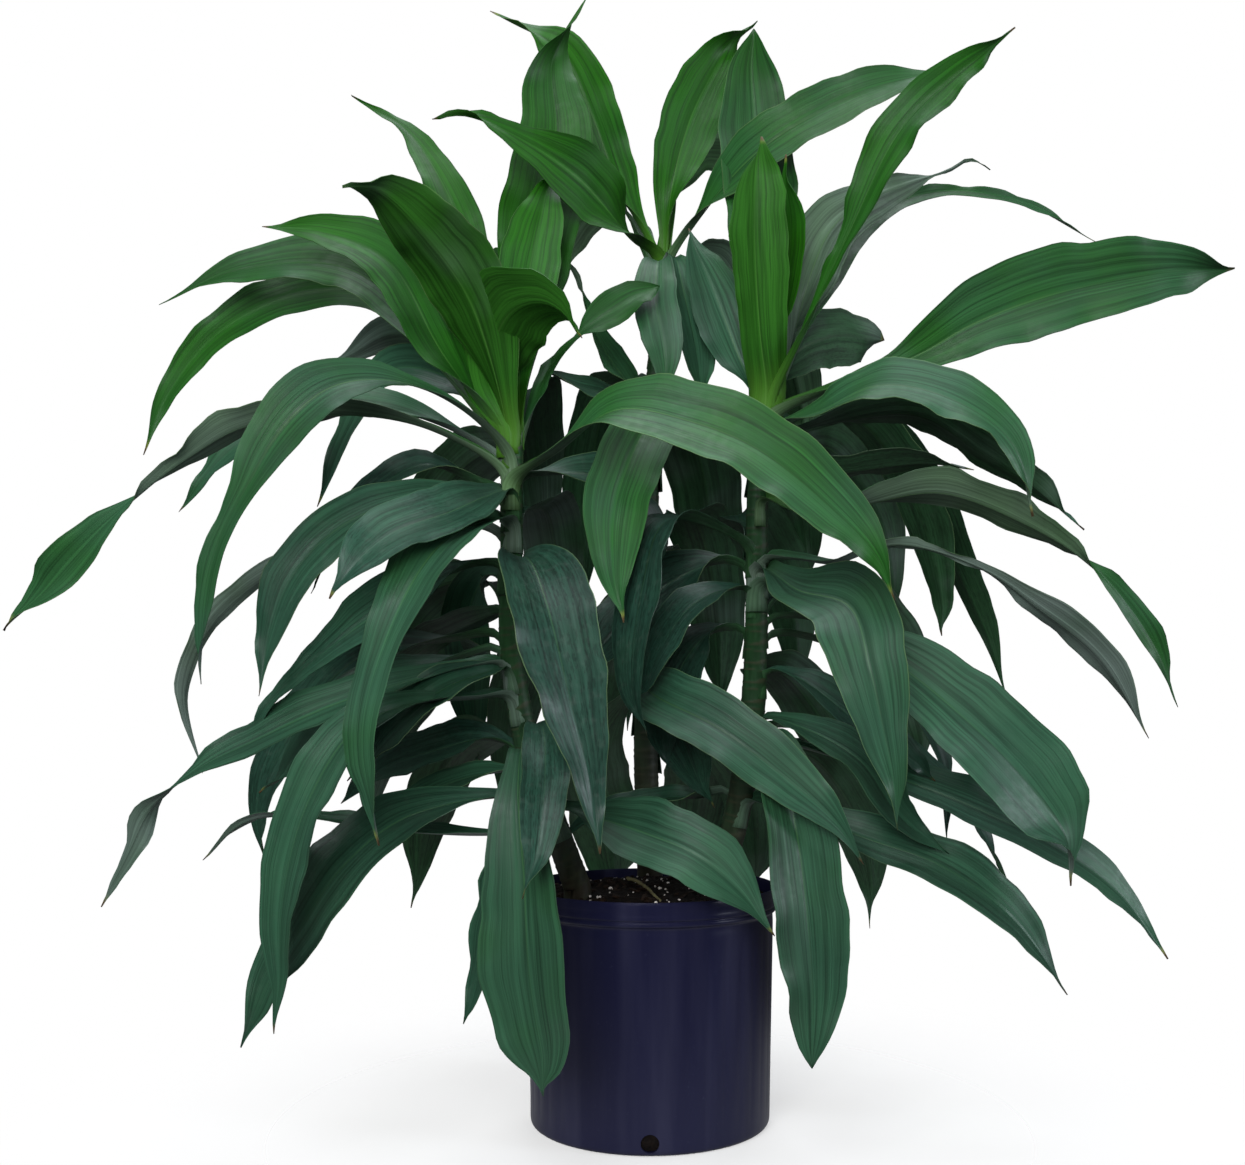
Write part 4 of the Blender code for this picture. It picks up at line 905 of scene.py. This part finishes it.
def leaf_bunch(name, axis, leaves):
    """Leaves set side by side in one mesh. A leaf's edges are kept sharp, and each point knows its
    place on the blade, its leaf's value of age and painted shade, and a number drawn for the leaf."""
    made = [blade(axis, facts, number) for number, facts in leaves]
    points, faces, under, share, tags = zip(*made)
    starts = np.cumsum([0] + [len(places) for places in points])
    quads = np.vstack([corners + start for corners, start in zip(faces, starts)])
    mesh = mesh_of_quads(name, np.vstack(points) * MM, quads)
    mesh.polygons.foreach_set("material_index", np.concatenate(under))
    share = np.vstack(share).astype(np.float32)
    mesh.uv_layers.new(name="blade").data.foreach_set("uv", share[quads.ravel()].ravel())
    # Each leaf's age value, which also carries painted shade for leaves deep in the plant and at the back.
    ages_and_shade = [facts.age_and_shade for _, facts in leaves]
    draws = [number * LEAF_DRAW_STEP % 1.0 for number, _ in leaves]
    mark(mesh, "age_and_shade", np.repeat(ages_and_shade, np.diff(starts)).astype(np.float32))
    mark(mesh, "leaf_draw", np.repeat(draws, np.diff(starts)).astype(np.float32))
    ends = np.empty(len(mesh.edges) * 2, dtype=np.int32)
    mesh.edges.foreach_get("vertices", ends)
    first, second = np.concatenate(tags)[ends.reshape(-1, 2)].T
    mark(mesh, "sharp_edge", (first == second) & (first >= 0), "BOOLEAN", "EDGE")
    return mesh


def ramp(tree, share, stops):
    """A colour ramp over a share, with stops of place and colour."""
    node = add_node(tree, "ShaderNodeValToRGB", {0: share})
    while len(node.color_ramp.elements) < len(stops):
        node.color_ramp.elements.new(0.5)
    for element, (place, colour) in zip(node.color_ramp.elements, stops):
        element.position = place
        element.color = colour
    return node.outputs["Color"]


def shaded(tree, colour, share):
    """A colour times a share, the same for red, green and blue."""
    grey = add_node(tree, "ShaderNodeCombineColor", {0: share, 1: share, 2: share}).outputs[0]
    return tinted(tree, 1.0, colour, grey, "MULTIPLY")


def marked(tree, name):
    """A value that the mesh's points are marked with."""
    return add_node(tree, "ShaderNodeAttribute", attribute_name=name).outputs["Fac"]


# Colours of the two faces by age and painted shade, and the paler, dry and dusty colours that lie
# over them. The last stop of the underside is dark: painted shade on the undersides of leaves deep
# in the plant and at the back.
UPPER_BY_AGE_AND_SHADE = ((0.0, (0.012, 0.092, 0.002, 1.0)), (0.3, (0.014, 0.080, 0.012, 1.0)),
              (0.62, (0.025, 0.082, 0.044, 1.0)), (1.0, (0.015, 0.050, 0.034, 1.0)))
UNDER_BY_AGE_AND_SHADE = ((0.15, (0.020, 0.100, 0.010, 1.0)), (0.38, (0.085, 0.150, 0.090, 1.0)),
              (0.62, (0.105, 0.145, 0.130, 1.0)), (0.85, (0.021, 0.068, 0.028, 1.0)))
RIB_PALE, FOOT_YELLOW = (0.09, 0.24, 0.05, 1.0), (0.085, 0.20, 0.022, 1.0)
EDGE_PALE, DUST = (0.12, 0.20, 0.08, 1.0), (0.12, 0.15, 0.13, 1.0)
YELLOW_SPOT, DRY_TIP = (0.26, 0.27, 0.05, 1.0), (0.09, 0.060, 0.030, 1.0)


def leaf_finish(name, under):
    """A waxy green that goes from bright to dark with age and painted shade, with a tone of its own for
    each leaf.
    Streaks and thin dark lines run along the blade (noise pulled out along it): partly the tone of
    the veins and partly painted light and shade of the pleats. Old leaves have dark crackled patches
    and dust, the midrib and foot are paler, some edges have a thin pale line, and some tips are
    yellow or dry. Fine veins are relief."""
    finish, tree, shader, place = new_finish(name)
    spot = add_node(tree, "ShaderNodeUVMap", uv_map="blade").outputs[0]
    across, along, _ = add_node(tree, "ShaderNodeSeparateXYZ", {0: spot}).outputs
    age_and_shade, drawn = marked(tree, "age_and_shade"), marked(tree, "leaf_draw")
    off_rib = calc(tree, "ABSOLUTE", calc(tree, "SUBTRACT", across, 0.5))

    def veined(scale_across, scale_along, detail):
        at = add_node(tree, "ShaderNodeCombineXYZ", {0: times(tree, across, scale_across),
                                                     1: times(tree, along, scale_along),
                                                     2: times(tree, drawn, 90.0)}).outputs[0]
        return noise(tree, at, 1.0, detail)

    broad, lines, fine = veined(13.0, 2.0, 1.0), veined(36.0, 2.6, 1.0), veined(60.0, 4.0, 2.0)
    crackle = veined(34.0, 42.0, 3.0)
    mottle, cloud = noise(tree, place, 130.0, 3.0), noise(tree, place, 11.0, 2.0)
    drift = times(tree, calc(tree, "SUBTRACT", cloud, 0.5), 0.55)
    # The leaf's value of age and painted shade, with a slow random drift over the blade.
    aged_and_shaded = calc(tree, "ADD", age_and_shade, drift, clamp=True)
    cracked = times(tree, spread(tree, crackle, 0.5, 0.62), spread(tree, aged_and_shaded, 0.7, 1.0, 0.0, 0.38))
    # Streaks along the blade: partly vein tone and partly painted light and shade of the pleats.
    streaks_and_pleat_shade = calc(tree, "ADD", spread(tree, broad, 0.32, 0.68, 0.78, 1.15),
                   spread(tree, fine, 0.3, 0.7, -0.13, 0.13))
    streaks_and_pleat_shade = times(tree, streaks_and_pleat_shade, spread(tree, lines, 0.52, 0.64, 1.0, 0.68),
                    spread(tree, drawn, 0.0, 1.0, 0.9, 1.12), calc(tree, "SUBTRACT", 1.0, cracked))
    colour = shaded(tree, ramp(tree, aged_and_shaded, UNDER_BY_AGE_AND_SHADE if under else UPPER_BY_AGE_AND_SHADE), streaks_and_pleat_shade)
    rib = times(tree, spread(tree, off_rib, 0.002, 0.017, 1.0, 0.0),
                spread(tree, along, 0.2, 0.8, 0.4, 0.04), spread(tree, age_and_shade, 0.3, 1.0, 1.0, 0.45))
    foot = times(tree, spread(tree, along, 0.03, 0.24, 0.42, 0.0),
                 spread(tree, age_and_shade, 0.1, 0.8, 1.0, 0.08))
    edged = spread(tree, calc(tree, "FRACT", times(tree, drawn, 7.3)), 0.3, 0.9, 0.05, 0.5)
    edge = times(tree, spread(tree, off_rib, 0.485, 0.497), edged, spread(tree, along, 0.1, 0.3))
    dusty = times(tree, spread(tree, mottle, 0.52, 0.75), spread(tree, age_and_shade, 0.6, 1.0, 0.0, 0.10))
    yellow = times(tree, spread(tree, along, 0.965, 0.985), spread(tree, drawn, 0.5, 0.75, 0.0, 0.5))
    dry = times(tree, spread(tree, along, 0.978, 0.993), spread(tree, drawn, 0.2, 0.4))
    for share, over in ((rib, RIB_PALE), (foot, FOOT_YELLOW), (edge, EDGE_PALE), (dusty, DUST),
                        (yellow, YELLOW_SPOT), (dry, DRY_TIP)):
        colour = tinted(tree, share, colour, over)
    gloss = calc(tree, "ADD", spread(tree, mottle, 0.3, 0.75, 0.0, 0.1),
                 spread(tree, age_and_shade, 0.2, 1.0, 0.44, 0.34))
    if under:
        gloss = spread(tree, mottle, 0.3, 0.75, 0.48, 0.6)
    veins = relief(tree, lines, spread(tree, along, 0.55, 0.85, 0.45, 0.08), 0.3)
    fibres = relief(tree, fine, spread(tree, along, 0.55, 0.85, 0.15, 0.03), 0.2, veins)
    feed(tree, shader, {"Base Color": colour, "Roughness": gloss,
                        "Specular IOR Level": spread(tree, age_and_shade, 0.1, 0.7, 0.3, 0.44),
                        "Normal": relief(tree, mottle, 0.12, 0.1, fibres)})
    return finish


def stem(name, axis):
    """The cane: a rod along its axis, tapering upwards. A ridge that rises slowly and drops fast
    comes back every scar step, on a slant that follows the bearing."""
    above = smooth_curve(axis[1:], int((axis[-1][2] - axis[1][2]) / CANE_ROW_STEP))
    path = np.vstack([smooth_curve([axis[0], axis[1]], SUNK_ROWS)[:-1], above])
    along = run_along(path)
    rounding = np.clip((along[-1] - along) / CANE_TOP_ROUNDING, 0.12, 1.0) ** 0.6
    radii = cane_radius(axis, path[:, 2]) * rounding

    def phase_of(row, turn):
        return (along[row] + SCAR_SLANT * np.cos(turn + along[row] * 0.33)) / SCAR_STEP % 1.0

    def scars(row, turn):
        phase = phase_of(row, turn)
        ridge = phase ** 3 * (1 - eased(0.86, 1.0, phase)) - 0.2
        return SCAR_RISE * ridge + 0.3 * np.sin(2 * turn + along[row] / 31)

    mesh = rod(name, path, radii, CANE_SIDES, scars)
    turn = np.arange(CANE_SIDES) * 2 * math.pi / CANE_SIDES
    phase = phase_of(np.arange(len(path))[:, None], turn)
    scar = (eased(0.7, 0.85, phase) * (1 - eased(0.95, 1.0, phase))).ravel()
    up_cane = np.repeat(along / along[-1], CANE_SIDES)
    mark(mesh, "scar", np.concatenate([scar, [0, 0]]).astype(np.float32))
    mark(mesh, "up_cane", np.concatenate([up_cane, [0, 1]]).astype(np.float32))
    return mesh


def stem_finish():
    """Green skin that turns olive and then corky brown towards the soil, with brown scar lines."""
    finish, tree, shader, place = new_finish("cane_skin")
    fibre = noise(tree, drawn_out(tree, place, STEM_FIBRES), 1.0, 4.0)
    drift = times(tree, calc(tree, "SUBTRACT", noise(tree, place, 45.0, 3.0), 0.5), 0.35)
    colour = ramp(tree, calc(tree, "ADD", marked(tree, "up_cane"), drift),
                  ((0.12, STEM_BROWN), (0.38, STEM_OLD), (0.75, STEM_GREEN)))
    colour = shaded(tree, colour, spread(tree, fibre, 0.3, 0.7, 0.7, 1.25))
    colour = tinted(tree, times(tree, marked(tree, "scar"), 0.75), colour, SCAR_BROWN)
    feed(tree, shader, {"Base Color": colour, "Roughness": 0.55,
                        "Normal": relief(tree, fibre, 0.4, 0.5)})
    return finish


def grow(side, node, axis, leaves, first_number, parts):
    """A cane's stem and its leaves, bunched from the top down so that no piece is too big."""
    add_piece(side + "_stem", stem(side + "_stem", axis), [cane_skin], "leaf", node)
    ranked = sorted(enumerate(leaves, first_number), key=lambda numbered: -numbered[1].foot)
    share = math.ceil(len(ranked) / len(parts))
    for place, part in enumerate(parts):
        piece = "%s_%s_leaves" % (side, part)
        bunch = ranked[place * share:(place + 1) * share]
        add_piece(piece, leaf_bunch(piece, axis, bunch), leaf_skin, "leaf", node)


cane_skin = stem_finish()
leaf_skin = [leaf_finish("leaf_upper", False), leaf_finish("leaf_under", True)]
grow("left", "cane_left", LEFT_AXIS, LEFT_LEAVES, 0, ("crown", "middle", "lower"))

# Middle cane: the tallest, at the back. It stands nearly upright. The last eleven of its leaves
# stand behind it and are invented.
MIDDLE_AXIS = ((0, 78, 140), (0, 78, 240), (-4, 84, 340), (-3, 90, 480),
               (0, 92, 680), (9, 92, 790), (13, 90, 860), (13, 90, 894))
MIDDLE_LEAVES = (
    leaf(866, 64, 60, 0.12, (-30, 929, 110), (-60, 1009, 130), (-90, 1069, 140), (-158, 1105, 140),
         twist=(110, 0.86), wave=3.0, outline="young"),
    leaf(858, 70, 60, 0.12, (-18, 879, 55), (-70, 939, 0), (-140, 986, -40), (-185, 1004, -60),
         (-218, 1003, -75), twist=(60, 0.8), wave=3.0, outline="tailed"),
    leaf(872, 66, 60, 0.1, (20, 919, 105), (40, 999, 130), (66, 1052, 140), (78, 1074, 145),
         (105, 1107, 150), twist=(110, 0.86), wave=2.5, outline="young"),
    leaf(850, 60, 48, 0.35, (45, 895, 55), (110, 969, 5), (200, 1021, -10), (305, 1053, -20)),
    leaf(836, 44, 36, 0.5, (8, 858, 33), (6, 818, -8), (14, 770, -30), (18, 715, -37)),
    leaf(846, 50, 36, 0.55, (24, 862, 70), (34, 826, 40), (46, 770, 30), (52, 715, 25)),
    leaf(700, 46, 22, 0.5, (-15, 726, 60), (-52, 780, 45), (-72, 842, 45), (-84, 862, 48), twist=(90, 0.85),
         wave=3.0, outline="tailed"),
    leaf(690, 34, 12, 0.7, (-40, 724, 50), (-72, 733, 20), (-112, 752, 0)),
    leaf(690, 64, 60, 0.37, (18, 706, 10), (-8, 684, -70), (-36, 604, -110), (-33, 491, -120), wave=1.5),
    leaf(420, 62, 55, 0.74, (-12, 446, 20), (4, 424, -70), (70, 390, -125), (140, 337, -150),
         (190, 292, -162), (215, 253, -165)),
    leaf(396, 56, 52, 0.95, (14, 430, 40), (26, 395, 5), (44, 350, -5), (58, 312, -8)),
    leaf(860, 70, -56, 0.25, (30, 940, 140), (60, 980, 210), (110, 960, 290), (150, 900, 340)),
    leaf(830, 72, -56, 0.35, (-20, 900, 150), (-50, 930, 230), (-90, 880, 320), (-110, 800, 365)),
    leaf(770, 72, -56, 0.45, (30, 840, 150), (60, 850, 230), (100, 780, 320), (120, 690, 360)),
    leaf(720, 72, -56, 0.85, (-20, 740, 150), (-45, 716, 240), (-62, 620, 320), (-66, 520, 350)),
    leaf(640, 92, -80, 0.85, (22, 690, 160), (42, 685, 250), (60, 600, 340), (62, 500, 375)),
    leaf(560, 78, -64, 0.88, (30, 600, 150), (50, 590, 240), (68, 500, 320), (70, 400, 345)),
    leaf(470, 68, -56, 0.85, (-10, 520, 150), (-30, 500, 240), (-50, 420, 330), (-60, 330, 345)),
    leaf(380, 80, -76, 0.9, (-20, 420, 140), (-52, 366, 200), (-44, 300, 245), (-30, 215, 262),
         outline="full"),
    leaf(520, 70, -56, 0.8, (10, 570, 160), (0, 560, 250), (-15, 480, 340), (-20, 390, 365)),
    leaf(430, 66, -60, 0.85, (30, 420, 130), (70, 380, 190), (104, 320, 235), (108, 228, 250),
         outline="full"),
    leaf(340, 82, -78, 0.9, (15, 385, 140), (45, 355, 200), (48, 310, 250), (20, 236, 265), outline="full"),
)

grow("middle", "cane_centre", MIDDLE_AXIS, MIDDLE_LEAVES, 100, ("crown", "lower"))

# Right cane: it leans out to the right and has the brightest young leaves at its top. The last
# seven of its leaves stand at the back and are invented.
RIGHT_AXIS = ((66, -12, 140), (66, -12, 238), (85, -12, 300), (101, -12, 400),
              (106, -11, 520), (107, -10, 625), (115, -10, 697), (118, -9, 736))
RIGHT_LEAVES = (
    leaf(700, 62, -57, 0.0, (110, 789, -45), (105, 889, -62), (107, 985, -60), outline="sheathed"),
    leaf(690, 74, 70, 0.35, (113, 869, 10), (103, 1019, 45), (98, 1089, 50), wave=1.2, outline="blunt"),
    leaf(706, 46, 34, 0.05, (130, 800, -25), (141, 890, -25), (132, 958, -20), outline="young"),
    leaf(694, 48, 42, 0.2, (155, 789, -45), (200, 889, -65), (250, 989, -80), (310, 1049, -88),
         (370, 1091, -90), twist=(25, 0.8), wave=3.5, outline="stalked"),
    leaf(684, 66, -56, 0.45, (162, 849, 30), (182, 891, 50), (210, 914, 68), (250, 932, 88),
         (302, 950, 108), (317, 956, 114), (338, 942, 122), wave=3.5, outline="threaded"),
    leaf(676, 30, 20, 0.4, (165, 810, 61), (210, 889, 102), (280, 926, 133), (370, 917, 159),
         (448, 876, 180), outline="dagger"),
    leaf(670, 82, 80, 0.4, (205, 738, -60), (268, 764, -70), (323, 795, -80), (400, 824, -85),
         (515, 847, -85), (588, 851, -75), wave=2.0, outline="paddle"),
    leaf(655, 54, 40, 0.5, (175, 710, -110), (230, 734, -150), (300, 721, -175), (360, 679, -185),
         (386, 599, -185), wave=2.6),
    leaf(645, 50, -36, 0.85, (200, 700, -60), (270, 704, -80), (330, 668, -95), (390, 628, -106),
         (438, 582, -112), wave=2.2),
    leaf(590, 50, -38, 0.42, (160, 606, -77), (210, 614, -104), (290, 627, -122), (376, 596, -134),
         (440, 555, -138), (490, 499, -135), (534, 414, -128), twist=(120, 0.71), wave=2.5,
         outline="waisted"),
    leaf(600, 50, -24, 0.95, (150, 640, 0), (200, 648, 5), (270, 656, 5), (316, 652, 5)),
    leaf(650, 58, -45, 0.9, (150, 700, 25), (205, 702, 50), (265, 619, 65), (301, 471, 70)),
    leaf(640, 50, -35, 0.92, (165, 690, 60), (225, 695, 95), (280, 619, 110), (305, 559, 115),
         (340, 479, 118), (358, 429, 118)),
    leaf(530, 38, -30, 0.6, (145, 560, -45), (186, 556, -75), (245, 575, -95), (330, 552, -120),
         (390, 511, -128), (450, 462, -130), (502, 378, -130), outline="late"),
    leaf(520, 76, 72, 0.6, (150, 528, -100), (200, 512, -150), (220, 450, -190), (238, 369, -205),
         (254, 291, -208), outline="early"),
    leaf(506, 88, 86, 0.7, (145, 530, -55), (200, 490, -95), (290, 422, -135), (368, 348, -155),
         (416, 280, -160), (422, 235, -160), wave=2.0, outline="full"),
    leaf(470, 54, 38, 0.85, (160, 500, 0), (230, 470, 15), (290, 400, 20), (322, 340, 20)),
    leaf(452, 44, 20, 0.85, (160, 480, 35), (240, 440, 60), (290, 362, 70), (298, 281, 70)),
    leaf(352, 58, 42, 0.75, (150, 372, -35), (250, 340, -60), (330, 309, -75), (410, 269, -82),
         (470, 224, -84), (518, 154, -84)),
    leaf(292, 58, 48, 0.75, (130, 312, -60), (215, 281, -95), (290, 254, -120), (360, 204, -132),
         (418, 125, -134)),
    leaf(362, 44, 18, 0.8, (160, 390, 19), (240, 376, 33), (310, 318, 32), (360, 233, 26)),
    leaf(420, 56, 36, 0.9, (150, 440, -34), (210, 396, -52), (290, 340, -66)),
    leaf(372, 50, 35, 0.75, (150, 392, -75), (210, 358, -110), (250, 302, -122), (295, 266, -124)),
    leaf(684, 64, -56, 0.85, (140, 760, 32), (185, 783, 80), (234, 776, 140), outline="blunt"),
    leaf(680, 56, 50, 0.6, (85, 772, 18), (55, 849, 35), (34, 890, 38)),
    leaf(340, 74, 72, 0.62, (118, 380, -83), (140, 318, -137), (155, 225, -160), (162, 139, -164),
         (164, 58, -157), outline="blunt"),
    leaf(300, 48, 20, 0.8, (50, 322, 13), (10, 320, 16), (-45, 306, 20), (-90, 284, 25)),
    # The next four stand deep in the middle and take the top value: their darkness is partly age and partly
    # painted shade.
    leaf(540, 52, 38, 1.0, (60, 592, -50), (14, 596, -85), (-8, 530, -108), (-18, 439, -118),
         (-8, 379, -118)),
    leaf(500, 50, 34, 1.0, (72, 528, -40), (40, 512, -62), (8, 465, -76), (-10, 410, -80)),
    leaf(520, 66, 58, 1.0, (75, 556, 15), (38, 546, 26), (-15, 510, 25), (-75, 440, 20)),
    leaf(460, 58, 50, 1.0, (62, 486, 2), (36, 460, 0), (18, 410, -3), (12, 350, -11)),
    leaf(690, 70, -56, 0.35, (122, 780, 80), (130, 790, 170), (150, 720, 250), (160, 620, 290)),
    leaf(600, 72, -56, 0.85, (130, 660, 60), (180, 670, 150), (230, 600, 240), (250, 500, 280)),
    leaf(560, 70, -56, 0.88, (90, 600, 60), (100, 600, 150), (140, 520, 240), (150, 420, 270)),
    leaf(480, 68, -56, 0.8, (150, 530, 50), (210, 520, 130), (260, 440, 200), (280, 340, 225)),
    leaf(410, 66, -56, 0.85, (100, 450, 40), (140, 440, 130), (190, 360, 210), (205, 265, 235)),
    leaf(330, 64, -56, 0.9, (120, 370, 30), (170, 355, 120), (215, 280, 190), (225, 190, 210)),
    leaf(620, 70, -56, 0.85, (90, 690, 80), (110, 690, 180), (150, 610, 270), (160, 510, 300)),
)

grow("right", "cane_right", RIGHT_AXIS, RIGHT_LEAVES, 200, ("crown", "middle", "lower"))
